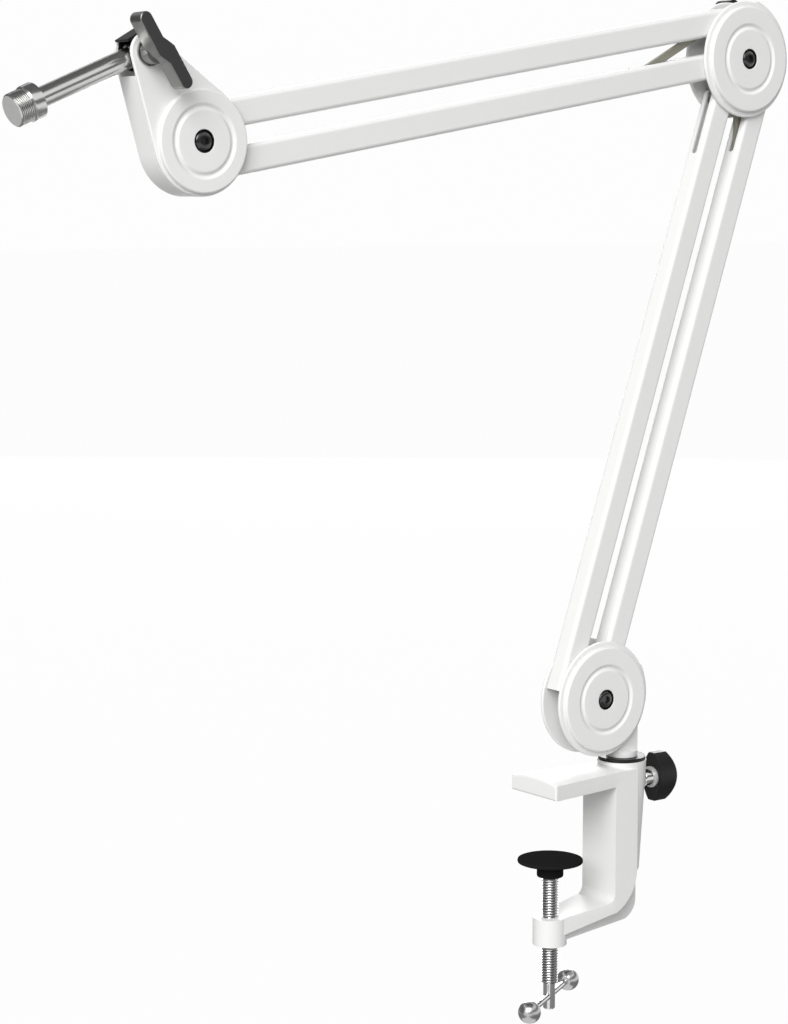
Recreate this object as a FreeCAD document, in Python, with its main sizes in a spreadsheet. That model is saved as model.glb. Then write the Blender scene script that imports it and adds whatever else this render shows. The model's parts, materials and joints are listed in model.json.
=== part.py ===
import FreeCAD, Part
import math
import os
import re

import Sketcher

# Balanced microphone boom arm with a desk clamp, in millimetres, +Z up.
# The origin lies on the underside of the clamp's upper jaw, on the axis of the clamp screw.
# +X runs from the clamp screw towards the clamp's spine, and the arm folds in the XZ plane.

DIMENSIONS = [
    # clamp frame
    ("desk_gap", 37.2, "jaw underside to pad face"),
    ("jaw_reach", 12.5, "screw axis to jaw tip"),
    ("jaw_thickness", 8.3, "jaw, at its side edges"),
    ("jaw_crown", 1.9, "rise of the jaw's domed top"),
    ("jaw_tip_width", 37.6, "jaw, at its tip"),
    ("throat_depth", 36.0, "screw axis to the spine's inner face"),
    ("throat_height", 65.0, "jaw underside to lower arm, at the spine"),
    ("spine_width", 27.5, "spine and post boss, across"),
    ("post_offset", 52.3, "screw axis to post axis"),
    ("boss_rise", 3.5, "post boss above the jaw's side edges"),
    ("boss_taper", 3.4, "post boss, drop in radius down the spine"),
    ("boss_length", 62.0, "post boss, top to the start of its rounded end"),
    ("boss_end", 8.0, "height of the post boss's sloping end"),
    ("arm_thickness", 6.5, "lower arm of the frame, at the spine"),
    ("arm_fall", 5.0, "lower arm's slope from spine to screw boss"),
    ("arm_end_thickness", 9.6, "lower arm of the frame, at the screw boss"),
    ("arm_end_width", 17.0, "lower arm of the frame, at the screw boss"),
    ("throat_round", 5.0, "rounded inner corner of spine and lower arm"),
    ("spine_corner", 24.0, "rounded outer corner of the spine"),
    ("spine_corner_rise", 21.8, "height of that corner"),
    ("spine_foot_length", 1.0, "flat foot of the spine before that corner"),
    ("rib_boss_step", 0.8, "rib's lower edge above the screw boss's end"),
    ("rib_thickness", 8.0, "rib behind the spine and under the lower arm"),
    ("rib_drop", 8.2, "rib below the lower arm, at the spine"),
    ("rib_back", 8.0, "rib behind the post axis"),
    ("rib_corner", 11.0, "rounded corner of the rib"),
    ("rib_corner_run", 8.8, "length of that corner along the rib's lower edge"),
    ("screw_boss_width", 18.8, "boss that the screw runs in"),
    ("screw_boss_height", 15.3, "boss that the screw runs in"),
    ("frame_round", 1.2, "rounded edges of the cast frame"),
    ("cut_margin", 1.2, "overrun of cuts, and roots sunk into their neighbours"),
    # clamp screw and pad
    ("screw_width", 9.6, "clamp screw over its thread"),
    ("screw_thread_end", 107.0, "jaw underside to the end of the thread"),
    ("screw_end", 122.2, "jaw underside to the screw's lower end"),
    ("shank_width", 6.6, "plain lower end of the screw"),
    ("screw_neck_width", 6.0, "screw's upper end, inside the pad's hub"),
    ("pad_width", 36.0, "pressure pad"),
    ("pad_thickness", 2.0, "pressure pad, disc"),
    ("pad_hub_width", 14.7, "pressure pad, hub"),
    ("pad_hub_height", 8.0, "pressure pad, hub"),
    ("pad_socket", 6.0, "depth of the screw's end in the hub"),
    ("tommy_height", 114.9, "jaw underside to the tommy bar"),
    ("tommy_width", 3.6, "tommy bar"),
    ("tommy_span", 62.8, "tommy bar, between ball centres"),
    ("tommy_turn", 29.4, "tommy bar's turn from the X axis, degrees"),
    ("ball_width", 12.4, "end balls"),
    ("ball_flat", 5.4, "ball's flat inner face from its centre"),
    # post, bush and lock knob
    ("spigot_width", 12.0, "post, inside the clamp"),
    ("spigot_depth", 38.0, "post, below the bush flange"),
    ("neck_width", 17.4, "post, above the bush"),
    ("bush_wall", 2.0, "bush sleeve"),
    ("bush_depth", 26.0, "bush sleeve, inside the boss"),
    ("flange_width", 26.4, "bush flange"),
    ("flange_thickness", 2.0, "bush flange"),
    ("lock_height", 1.9, "lock screw below the jaw underside"),
    ("lock_screw_width", 6.0, "lock screw"),
    ("lock_gap", 0.3, "lock screw to spigot, when slack"),
    ("ferrule_width", 9.4, "ferrule of the lock knob"),
    ("ferrule_rim", 12.0, "rim of the ferrule"),
    ("ferrule_length", 8.6, "ferrule, with its rim"),
    ("rim_thickness", 1.4, "rim of the ferrule"),
    ("ferrule_gap", 0.5, "ferrule to boss"),
    ("wing_height", 27.6, "lock knob's wing"),
    ("wing_length", 13.5, "lock knob's wing, along its axis"),
    ("wing_shoulder", 8.9, "lock knob's wing, along its short sides"),
    ("wing_thickness", 15.0, "lock knob's wing, across its middle"),
    ("wing_tip_thickness", 5.0, "lock knob's wing, at its two ends"),
    # arm bars and joints
    ("bar_width", 14.0, "arm bar, in the arm's plane"),
    ("bar_depth", 11.5, "arm bar, across the arm's plane"),
    ("bar_wall", 1.2, "arm bar, wall"),
    ("bar_corner", 2.2, "arm bar, corner radius"),
    ("bar_tail", 5.5, "bar end beyond its outer pivot"),
    ("bar_tongue", 7.0, "bar end beyond its elbow pivot"),
    ("tongue_chamfer", 4.0, "cut corners of the elbow end"),
    ("slot_width", 3.8, "slots for the strap"),
    ("pin_width", 5.0, "pivot pins"),
    ("running_play", 0.05, "radial play of a running fit"),
    ("seat_play", 0.02, "radial play of a fixed fit"),
    ("side_play", 0.3, "bar to plate, each side"),
    ("plate_thickness", 2.0, "joint plates"),
    ("plate_edge", 0.8, "rounded edge of a joint plate"),
    ("cover_thickness", 2.5, "round covers"),
    ("cover_edge", 1.0, "rounded rim of a cover"),
    ("cover_lip", 0.6, "cover under the screw head"),
    ("groove_width", 4.0, "ring groove in a cover"),
    ("groove_depth", 1.0, "ring groove in a cover"),
    ("sink_width", 11.0, "recess for the cover screw"),
    ("sink_chamfer", 0.6, "rim of that recess"),
    ("screw_head_width", 9.6, "cover screw, head"),
    ("screw_head_height", 2.1, "cover screw, head"),
    ("screw_head_round", 1.5, "cover screw, domed rim of its head"),
    ("screw_hex", 4.6, "hexagon socket, across corners"),
    ("screw_hex_depth", 1.4, "hexagon socket"),
    ("cover_screw_width", 4.0, "cover screw, shank"),
    ("cover_screw_reach", 8.0, "cover screw, below its head"),
    ("spacer_width", 6.6, "spacer between the joint plates"),
    ("joint_radius", 32.0, "plates of the base and elbow joints"),
    ("joint_cover", 29.0, "cover radius, base and elbow"),
    ("joint_groove", 17.8, "ring groove radius, base and elbow"),
    ("web_inner", 30.0, "inner radius of the webs"),
    ("web_outer", 33.7, "outer radius of the webs"),
    # base joint
    ("base_offset", 21.4, "post axis to base joint centre"),
    ("base_height", 49.3, "jaw underside to base joint centre"),
    ("base_left_x", -22.2, "left bar's base pivot, from the joint centre"),
    ("base_left_z", 10.8, "left bar's base pivot, from the joint centre"),
    ("base_right_x", 6.6, "right bar's base pivot, from the joint centre"),
    ("base_right_z", 13.0, "right bar's base pivot, from the joint centre"),
    ("base_web_start", -9.0, "web, degrees from the X axis"),
    ("base_web_end", 28.0, "web, degrees from the X axis"),
    ("tang_top", 5.5, "post's tang, below the joint centre"),
    ("rivet_width", 4.0, "rivets through the tang"),
    ("rivet_spacing", 6.5, "rivets through the tang"),
    ("rivet_edge", 4.5, "upper rivet below the tang's top"),
    # lower arm and elbow joint
    ("lower_length", 334.9, "lower bars, pivot to pivot"),
    ("lower_angle", 70.85, "lower bars from the X axis, degrees"),
    ("lower_left_slot", 33.0, "slot of the left bar, from its elbow pivot"),
    ("lower_right_slot", 34.0, "slot of the right bar, from its elbow pivot"),
    ("elbow_right_x", 13.9, "right bar's elbow pivot, from the joint centre"),
    ("elbow_right_z", -21.0, "right bar's elbow pivot, from the joint centre"),
    ("elbow_top_x", -16.7, "upper bars' elbow pivots, from the joint centre"),
    ("elbow_top_z", 20.0, "top bar's elbow pivot, from the joint centre"),
    ("upper_pivot_gap", 23.2, "upper bars, pivot spacing"),
    ("elbow_web_start", -12.0, "web, degrees from the X axis"),
    ("elbow_web_end", 74.0, "web, degrees from the X axis"),
    # upper arm and head joint
    ("upper_length", 340.0, "upper bars, pivot to pivot"),
    ("upper_slope", 9.9, "upper bars' rise towards the elbow, degrees"),
    ("upper_top_slot", 31.0, "slot of the top bar, from its elbow pivot"),
    ("upper_bottom_slot", 67.0, "slot of the bottom bar, from its elbow pivot"),
    ("head_pivot_x", 10.0, "head pivots, from the head's joint centre"),
    ("head_pivot_z", 12.15, "top bar's head pivot, from the head's joint centre"),
    ("head_radius", 26.0, "head plates, round end"),
    ("head_cover", 24.6, "cover radius, head"),
    ("head_groove", 16.2, "ring groove radius, head"),
    ("stud_pivot_x", -28.8, "stud pivot, from the head's joint centre"),
    ("stud_pivot_z", 40.6, "stud pivot, from the head's joint centre"),
    ("head_tip_radius", 9.4, "head plates, narrow end"),
    ("wall_thickness", 2.0, "side wall of the head"),
    ("wall_top", 29.5, "side wall's top, above the joint centre"),
    # springs and straps
    ("strap_height", 4.2, "strap, in the arm's plane"),
    ("strap_thickness", 2.0, "strap, across the arm's plane"),
    ("strap_hook_width", 5.4, "strap end that holds the spring"),
    ("strap_hole_width", 2.2, "hole for the spring's hook"),
    ("strap_eye_wall", 2.4, "wall of the strap's eye"),
    ("lower_strap_length", 53.5, "lower strap, eye to hook"),
    ("lower_strap_lean", 21.0, "lower strap's angle to its bar, degrees"),
    ("upper_strap_length", 67.4, "upper strap, eye to hook"),
    ("upper_strap_lean", 17.7, "upper strap's angle to its bar, degrees"),
    ("spring_width", 8.4, "springs, outside"),
    ("spring_wire", 1.4, "springs, wire"),
    ("spring_length", 120.0, "springs, between their ends"),
    ("spring_lead", 22.0, "strap hook to spring"),
    ("anchor_length", 10.0, "plug that holds the spring"),
    # stud, clip and levers
    ("stud_angle", 22.8, "stud's fall towards the microphone, degrees"),
    ("stud_width", 9.8, "stud rod"),
    ("eye_width", 15.0, "stud's eye"),
    ("eye_thickness", 6.0, "stud's eye, pressed flat"),
    ("rod_root", 2.0, "stud rod, sunk into the rim of its eye"),
    ("stud_length", 59.6, "stud pivot to collar"),
    ("collar_width", 17.4, "collar"),
    ("collar_length", 6.0, "collar"),
    ("thread_width", 15.875, "microphone thread, 5/8 inch"),
    ("thread_length", 7.9, "microphone thread"),
    ("thread_chamfer", 0.6, "thread's end"),
    ("collar_chamfer", 0.6, "collar's edges"),
    ("clip_width", 17.0, "friction clip's round cheeks"),
    ("clip_play", 0.3, "friction clip to plate"),
    ("clip_reach", 9.8, "friction clip's bridge, from the pivot"),
    ("clip_bridge", 1.2, "friction clip's bridge, thickness"),
    ("clip_bridge_width", 12.0, "friction clip's bridge, along"),
    ("clip_turn", 30.0, "friction clip's lean, degrees"),
    ("pivot_bolt_width", 6.0, "stud pivot bolt"),
    ("washer_width", 13.2, "washer under the head lever"),
    ("washer_thickness", 1.2, "washer under the head lever"),
    ("nut_width", 11.5, "nut across corners"),
    ("nut_thickness", 5.0, "nut"),
    ("lever_span", 34.8, "head lever, between its end centres"),
    ("lever_width", 6.7, "lever arms"),
    ("lever_depth", 9.5, "lever, along its axis"),
    ("lever_step", 1.6, "sideways step of each lever arm"),
    ("lever_run", 6.2, "length of that step along the lever"),
    ("lever_hub", 11.6, "lever hub"),
    ("lever_hub_rise", 5.0, "lever above its seat"),
    ("lever_edge", 0.9, "rounded lever edges"),
    ("lever_turn", 32.2, "head lever's lean, degrees"),
    ("elbow_lever_span", 63.0, "elbow lever, twice its long arm"),
    ("elbow_lever_tail", 14.0, "elbow lever, its short arm to the end's centre"),
    ("elbow_lever_turn", 22.0, "elbow lever's lean, degrees"),
    ("elbow_lever_width", 9.5, "elbow lever arms"),
    ("elbow_lever_depth", 11.5, "elbow lever, along its axis"),
    ("elbow_hub_rise", 2.2, "elbow lever above its seat"),
    ("elbow_bolt_reach", 10.0, "elbow lever's bolt, beyond the cover"),
    ("lever_gap", 0.4, "lever to its seat, when slack"),
]

# Places and sizes that follow from the driving dimensions.
DERIVED = {
    "half_gap": "bar_depth / 2 + side_play",
    "plate_face": "half_gap + plate_thickness",
    "cover_face": "plate_face + cover_thickness",
    "boss_top": "jaw_thickness + boss_rise",
    "boss_radius": "spine_width / 2",
    "screw_boss_top": "-throat_height - arm_fall",
    "screw_boss_bottom": "screw_boss_top - screw_boss_height",
    "pad_hub_end": "-desk_gap - pad_thickness - pad_hub_height",
    "flange_top": "boss_top + flange_thickness",
    "base_x": "post_offset - base_offset",
    "lower_left_x": "base_x + base_left_x",
    "lower_left_z": "base_height + base_left_z",
    "lower_right_x": "base_x + base_right_x",
    "lower_right_z": "base_height + base_right_z",
    "elbow_x": "lower_right_x + lower_length * cos(lower_angle) - elbow_right_x",
    "elbow_z": "lower_right_z + lower_length * sin(lower_angle) - elbow_right_z",
    "elbow_left_x": "elbow_right_x + base_left_x - base_right_x",
    "elbow_left_z": "elbow_right_z + base_left_z - base_right_z",
    "elbow_low_z": "elbow_top_z - upper_pivot_gap",
    "upper_top_x": "elbow_x + elbow_top_x - upper_length * cos(upper_slope)",
    "upper_top_z": "elbow_z + elbow_top_z - upper_length * sin(upper_slope)",
    "upper_bottom_z": "upper_top_z - upper_pivot_gap",
    "head_x": "upper_top_x - head_pivot_x",
    "head_z": "upper_top_z - head_pivot_z",
    "head_low_z": "head_pivot_z - upper_pivot_gap",
    "stud_x": "head_x + stud_pivot_x",
    "stud_z": "head_z + stud_pivot_z",
    "pin_hole": "pin_width / 2 + running_play",
    "pin_seat": "pin_width / 2 + seat_play",
    "spacer_seat": "cover_screw_width / 2 + running_play",
}

doc = FreeCAD.newDocument("boom_arm")
sizes = doc.addObject("Spreadsheet::Sheet", "Sizes")
for row, (alias, value, meaning) in enumerate(DIMENSIONS, start=1):
    sizes.set(f"A{row}", alias)
    sizes.set(f"B{row}", str(value))
    sizes.set(f"C{row}", meaning)
    sizes.setAlias(f"B{row}", alias)
doc.recompute()

DRIVING = {alias for alias, value, meaning in DIMENSIONS}
parts = []
# Two sketch or edge points nearer than this, in millimetres, count as one.
SAME_PLACE = 0.01


def bound(text):
    """A formula in size names, written out in cells of the sheet."""
    def write_out(match):
        name = match.group()
        if name in DERIVED:
            return "(" + bound(DERIVED[name]) + ")"
        return "Sizes." + name if name in DRIVING else name
    return re.sub(r"[a-z_]+[a-z0-9_]*", write_out, text)


def number(text):
    """The present value of a formula in size names."""
    value = sizes.evalExpression(bound(text).replace("Sizes.", ""))
    return float(getattr(value, "Value", value))


def part(item, label):
    """Names a finished sub-part and puts it on the list to write."""
    item.Label = label
    parts.append(item)
    return item


def place(item, x="0", y="0", z="0", axis=(0, 0, 1), angle="0"):
    """Puts an item at a point, turned about an axis, from the sheet."""
    turn = FreeCAD.Rotation(FreeCAD.Vector(*axis), number(angle))
    item.Placement = FreeCAD.Placement(FreeCAD.Vector(number(x), number(y), number(z)), turn)
    for path, text in (("Base.x", x), ("Base.y", y), ("Base.z", z)):
        item.setExpression("Placement." + path, bound(text))
    if number(angle):
        item.setExpression("Placement.Rotation.Angle", bound(angle))


def new_body(name):
    """An empty body for one piece."""
    return doc.addObject("PartDesign::Body", name)


def new_sketch(body, plane, lift="0"):
    """A sketch on one of the body's origin planes, lifted along that plane's normal.

    XZ sketches look along +Y, so their normal points to -Y.
    """
    sketch = body.newObject("Sketcher::SketchObject", body.Name + "_sketch")
    support = next(item for item in body.Origin.OriginFeatures if item.Role == plane)
    sketch.AttachmentSupport = (support, [""])
    sketch.MapMode = "FlatFace"
    sketch.setExpression("AttachmentOffset.Base.z", bound(lift))
    return sketch


def fix_point(sketch, geometry, point, x, y):
    """Ties a sketch point to its place from the sketch's origin."""
    for kind, text in (("DistanceX", x), ("DistanceY", y)):
        constraint = Sketcher.Constraint(kind, -1, 1, geometry, point, number(text))
        index = sketch.addConstraint(constraint)
        sketch.setExpression(f"Constraints[{index}]", bound(text))


def fix_radius(sketch, geometry, radius):
    """Ties the radius of a circle or arc to the sheet."""
    index = sketch.addConstraint(Sketcher.Constraint("Radius", geometry, number(radius)))
    sketch.setExpression(f"Constraints[{index}]", bound(radius))


def arc_between(start, end, radius):
    """The shorter arc from start to end that bulges to the right of the way, for a positive radius."""
    chord = end - start
    middle = (start + end) * 0.5
    right = FreeCAD.Vector(chord.y, -chord.x, 0).normalize()
    side = math.copysign(1, radius)
    sagitta = abs(radius) - math.sqrt(max(radius ** 2 - (chord.Length / 2) ** 2, 0))
    return Part.Arc(start, middle + right * side * sagitta, end)


def outline(sketch, corners):
    """A closed outline through corners; a third entry makes the edge after its corner an arc."""
    points = [FreeCAD.Vector(number(corner[0]), number(corner[1]), 0) for corner in corners]
    first = sketch.GeometryCount
    ends = []
    for index, corner in enumerate(corners):
        start = points[index]
        end = points[(index + 1) % len(points)]
        if len(corner) == 2:
            sketch.addGeometry(Part.LineSegment(start, end))
            ends.append((1, 2))
            continue
        radius = number(corner[2])
        sketch.addGeometry(arc_between(start, end, radius))
        # an arc's own first point is the one it leaves anticlockwise
        ends.append((1, 2) if radius > 0 else (2, 1))
    for index, corner in enumerate(corners):
        following = (index + 1) % len(corners)
        joint = Sketcher.Constraint(
            "Coincident", first + index, ends[index][1], first + following, ends[following][0])
        sketch.addConstraint(joint)
    for index, corner in enumerate(corners):
        fix_point(sketch, first + index, ends[index][0], corner[0], corner[1])
        if len(corner) == 3:
            fix_radius(sketch, first + index, corner[2].lstrip("-"))


def circle(sketch, x, y, radius):
    """A full circle."""
    centre = FreeCAD.Vector(number(x), number(y), 0)
    index = sketch.addGeometry(Part.Circle(centre, FreeCAD.Vector(0, 0, 1), number(radius)))
    fix_point(sketch, index, 3, x, y)
    fix_radius(sketch, index, radius)


def belt(sketch, first, second):
    """The outline of a belt round two circles, each given as x, y and radius."""
    (ax, ay, ar), (bx, by, br) = [[number(text) for text in ends] for ends in (first, second)]
    heading = math.atan2(by - ay, bx - ax)
    spread = math.acos((ar - br) / math.hypot(bx - ax, by - ay))
    normal = FreeCAD.Vector(0, 0, 1)
    rim_a = Part.Circle(FreeCAD.Vector(ax, ay, 0), normal, ar)
    rim_b = Part.Circle(FreeCAD.Vector(bx, by, 0), normal, br)
    arc_a = sketch.addGeometry(Part.ArcOfCircle(rim_a, heading + spread, heading - spread + 2 * math.pi))
    arc_b = sketch.addGeometry(Part.ArcOfCircle(rim_b, heading - spread, heading + spread))
    sides = []
    for side in (1, -1):
        out = FreeCAD.Vector(math.cos(heading + side * spread), math.sin(heading + side * spread), 0)
        start = FreeCAD.Vector(ax, ay, 0) + out * ar
        end = FreeCAD.Vector(bx, by, 0) + out * br
        sides.append(sketch.addGeometry(Part.LineSegment(start, end)))
    for arc, (x, y, radius) in ((arc_a, first), (arc_b, second)):
        fix_point(sketch, arc, 3, x, y)
        fix_radius(sketch, arc, radius)
    starts = ((sides[0], 1, arc_a, 1), (sides[1], 1, arc_a, 2))
    ends = ((sides[0], 2, arc_b, 2), (sides[1], 2, arc_b, 1))
    for joint in starts + ends:
        sketch.addConstraint(Sketcher.Constraint("Tangent", *joint))


def rounded_box(sketch, width, height, radius):
    """A rectangle with round corners about the sketch's origin."""
    across = f"({width}) / 2"
    up = f"({height}) / 2"
    inner_across = f"{across} - {radius}"
    inner_up = f"{up} - {radius}"
    outline(sketch, [
        (inner_across, f"-{up}", radius), (across, f"-({inner_up})"),
        (across, inner_up, radius), (inner_across, up),
        (f"-({inner_across})", up, radius), (f"-{across}", inner_up),
        (f"-{across}", f"-({inner_up})", radius), (f"-({inner_across})", f"-{up}"),
    ])


def pad(body, sketch, length, both=False, back=False):
    """Raises a sketch; both raises half to each side, back raises it against the normal."""
    feature = body.newObject("PartDesign::Pad", body.Name + "_pad")
    feature.Profile = sketch
    feature.setExpression("Length", bound(length))
    feature.Midplane = both
    feature.Reversed = back
    return feature


def pocket(body, sketch, length, both=False, back=False):
    """Cuts a sketch into the body and makes sure that something was cut."""
    doc.recompute()
    before = body.Shape.Volume
    feature = body.newObject("PartDesign::Pocket", body.Name + "_pocket")
    feature.Profile = sketch
    feature.setExpression("Length", bound(length))
    feature.Midplane = both
    feature.Reversed = back
    doc.recompute()
    if body.Shape.Volume >= before:
        raise RuntimeError(f"{body.Name}: a pocket cut nothing")
    return feature


def turned(body, sketch, axis):
    """A full revolution of a sketch about its own H_Axis or V_Axis."""
    feature = body.newObject("PartDesign::Revolution", body.Name + "_turned")
    feature.Profile = sketch
    feature.ReferenceAxis = (sketch, [axis])
    feature.Angle = 360
    return feature


def loft(body, first, second):
    """A straight loft between two sketches."""
    feature = body.newObject("PartDesign::AdditiveLoft", body.Name + "_loft")
    feature.Profile = first
    feature.Sections = [second]
    feature.Ruled = True
    return feature


def rounded(body, radius, wanted):
    """Rounds the edges of the body that the test picks."""
    doc.recompute()
    base = body.Tip
    names = [f"Edge{n}" for n, edge in enumerate(base.Shape.Edges, start=1) if wanted(edge)]
    if not names:
        raise RuntimeError(f"{body.Name}: no edge to round")
    feature = body.newObject("PartDesign::Fillet", body.Name + "_round")
    feature.Base = (base, names)
    feature.setExpression("Radius", bound(radius))
    return feature


def rod(name, radius, length, x="0", y="0", z="0", axis=(0, 0, 1), angle="0"):
    """A plain round rod from its placed end."""
    item = doc.addObject("Part::Cylinder", name)
    item.setExpression("Radius", bound(radius))
    item.setExpression("Height", bound(length))
    place(item, x, y, z, axis, angle)
    return item


def cross_pin(name, x, z, width="pin_width"):
    """A pin across the arm's plane, flush with both joint plates."""
    return rod(name, f"{width} / 2", "2 * plate_face", x, "plate_face", z, (1, 0, 0), "90")


def group(label, items):
    """Separate solids that share one node."""
    item = doc.addObject("Part::Compound", label)
    item.Links = items
    return part(item, label)


# Clamp

def clamp_frame():
    """Cast C frame: domed jaw, spine with the post boss, and a ribbed lower arm with the screw boss."""
    body = new_body("clamp_frame")
    place(body, "post_offset")
    inner = "throat_depth - post_offset"
    spine_foot = "-throat_height - arm_thickness"
    spine = new_sketch(body, "XZ_Plane")
    outline(spine, [
        (inner, spine_foot), (f"{inner} + spine_foot_length", spine_foot, "spine_corner"),
        ("0", f"{spine_foot} + spine_corner_rise"), ("0", "jaw_thickness"), (inner, "jaw_thickness")])
    pad(body, spine, "spine_width", both=True)

    boss = new_sketch(body, "XZ_Plane")
    outline(boss, [
        ("0", "boss_top - boss_length - boss_end"),
        ("boss_radius - boss_taper - boss_end / 2", "boss_top - boss_length - boss_end"),
        ("boss_radius - boss_taper", "boss_top - boss_length"), ("boss_radius", "boss_top"), ("0", "boss_top")])
    turned(body, boss, "V_Axis")

    crown = "(({0})^2 / 4 + jaw_crown^2) / (2 * jaw_crown)"
    sections = []
    ends = (("-jaw_reach - post_offset", "jaw_tip_width"), (inner, "spine_width"), (inner, "spine_width"))
    for lift, width in ends:
        section = new_sketch(body, "YZ_Plane", lift)
        outline(section, [
            (f"-{width} / 2", "-cut_margin"), (f"{width} / 2", "-cut_margin"),
            (f"{width} / 2", "jaw_thickness", crown.format(width)), (f"-{width} / 2", "jaw_thickness")])
        sections.append(section)
    tip, root, saddle = sections
    loft(body, tip, root)
    pad(body, saddle, "post_offset - throat_depth")
    underside = new_sketch(body, "XY_Plane")
    beyond = "-post_offset - 2 * jaw_reach"
    outline(underside, [
        (beyond, "-jaw_tip_width"), (inner, "-jaw_tip_width"),
        (inner, "jaw_tip_width"), (beyond, "jaw_tip_width")])
    pocket(body, underside, "2 * cut_margin")

    sections = []
    ends = (("-post_offset", "arm_end_width", "screw_boss_top", "arm_end_thickness"),
            (inner, "spine_width", "-throat_height", "arm_thickness"))
    for lift, width, top, thickness in ends:
        section = new_sketch(body, "YZ_Plane", lift)
        outline(section, [
            (f"-{width} / 2", f"{top} - {thickness}"), (f"{width} / 2", f"{top} - {thickness}"),
            (f"{width} / 2", top), (f"-{width} / 2", top)])
        sections.append(section)
    loft(body, *sections)
    corner = FreeCAD.Vector(number(inner), 0, number("-throat_height"))
    rounded(body, "throat_round", lambda edge: all(
        math.hypot(v.X - corner.x, v.Z - corner.z) < SAME_PLACE for v in edge.Vertexes))

    rib = new_sketch(body, "XZ_Plane")
    rib_foot = f"{spine_foot} - rib_drop"
    outline(rib, [
        ("-post_offset", "screw_boss_bottom + rib_boss_step"),
        ("rib_back - rib_corner_run", rib_foot, "rib_corner"),
        ("rib_back", f"{rib_foot} + rib_corner"), ("rib_back", "boss_top - boss_length"),
        (f"{inner} + rib_thickness", "boss_top - boss_length"),
        (f"{inner} + rib_thickness", "-throat_height - cut_margin"),
        ("-post_offset", "screw_boss_top - cut_margin")])
    pad(body, rib, "rib_thickness", both=True)

    screw_boss = new_sketch(body, "XY_Plane", "screw_boss_bottom")
    circle(screw_boss, "-post_offset", "0", "screw_boss_width / 2")
    pad(body, screw_boss, "screw_boss_height")

    tip_x = number("-jaw_reach - post_offset")
    rounded(body, "frame_round", lambda edge: all(abs(v.X - tip_x) < SAME_PLACE for v in edge.Vertexes))

    sleeve = new_sketch(body, "XY_Plane", "boss_top")
    circle(sleeve, "0", "0", "spigot_width / 2 + bush_wall + seat_play")
    pocket(body, sleeve, "bush_depth")
    socket = new_sketch(body, "XY_Plane", "boss_top")
    circle(socket, "0", "0", "spigot_width / 2 + side_play")
    pocket(body, socket, "spigot_depth + side_play")
    screw_hole = new_sketch(body, "XY_Plane", "screw_boss_top + cut_margin")
    circle(screw_hole, "-post_offset", "0", "screw_width / 2 + running_play")
    pocket(body, screw_hole, "screw_boss_height + 2 * cut_margin")
    lock_hole = new_sketch(body, "YZ_Plane", "boss_radius + cut_margin")
    circle(lock_hole, "0", "-lock_height", "lock_screw_width / 2 + running_play")
    pocket(body, lock_hole, "boss_radius + cut_margin")
    part(body, "clamp_frame")


def socket_bush():
    """Flanged bush in the post boss, with a side hole for the lock screw."""
    body = new_body("socket_bush")
    place(body, "post_offset")
    bore = "spigot_width / 2 + running_play"
    sleeve = "spigot_width / 2 + bush_wall"
    profile = new_sketch(body, "XZ_Plane")
    outline(profile, [
        (bore, "boss_top - bush_depth"), (sleeve, "boss_top - bush_depth"), (sleeve, "boss_top"),
        ("flange_width / 2", "boss_top"), ("flange_width / 2", "flange_top"), (bore, "flange_top")])
    turned(body, profile, "V_Axis")
    hole = new_sketch(body, "YZ_Plane", f"{sleeve} + bush_wall")
    circle(hole, "0", "-lock_height", "lock_screw_width / 2 + running_play")
    pocket(body, hole, "3 * bush_wall")
    part(body, "socket_bush")


def lock_knob():
    """Lock screw with its ferrule, and the wing that turns it."""
    screw = new_body("lock_screw")
    place(screw, "post_offset", "0", "-lock_height")
    seat = "boss_radius + ferrule_gap"
    profile = new_sketch(screw, "XZ_Plane")
    outline(profile, [
        ("spigot_width / 2 + lock_gap", "0"), (f"{seat} + ferrule_length", "0"),
        (f"{seat} + ferrule_length", "ferrule_rim / 2"),
        (f"{seat} + ferrule_length - rim_thickness", "ferrule_rim / 2"),
        (f"{seat} + ferrule_length - rim_thickness", "ferrule_width / 2"),
        (f"{seat} + rim_thickness", "ferrule_width / 2"), (seat, "ferrule_width / 2 - rim_thickness"),
        (seat, "lock_screw_width / 2"), ("spigot_width / 2 + lock_gap", "lock_screw_width / 2")])
    turned(screw, profile, "H_Axis")
    part(screw, "lock_screw")

    wing = new_body("lock_wing")
    place(wing, "post_offset", "0", "-lock_height")
    root = f"{seat} + ferrule_length"
    end = "wing_height / 2"
    tip = "wing_tip_thickness / 2"
    arc_radius = "(wing_height^2 / 4 + ({0})^2) / (2 * ({0}))".format
    swell = arc_radius("wing_thickness / 2 - wing_tip_thickness / 2")
    section = new_sketch(wing, "YZ_Plane", root)
    outline(section, [(tip, f"-{end}", swell), (tip, end), (f"-{tip}", end, swell), (f"-{tip}", f"-{end}")])
    pad(wing, section, "wing_length")
    shoulder = f"{root} + wing_shoulder"
    far = f"{root} + 2 * wing_length"
    rim = new_sketch(wing, "XZ_Plane")
    outline(rim, [
        (shoulder, f"-{end}", arc_radius("wing_length - wing_shoulder")), (shoulder, end),
        (shoulder, f"{end} + cut_margin"), (far, f"{end} + cut_margin"),
        (far, f"-{end} - cut_margin"), (shoulder, f"-{end} - cut_margin")])
    pocket(wing, rim, "2 * wing_thickness", both=True)
    foot = number(root)
    rounded(wing, "lever_edge", lambda edge: any(abs(v.X - foot) > SAME_PLACE for v in edge.Vertexes))
    part(wing, "lock_wing")


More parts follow.
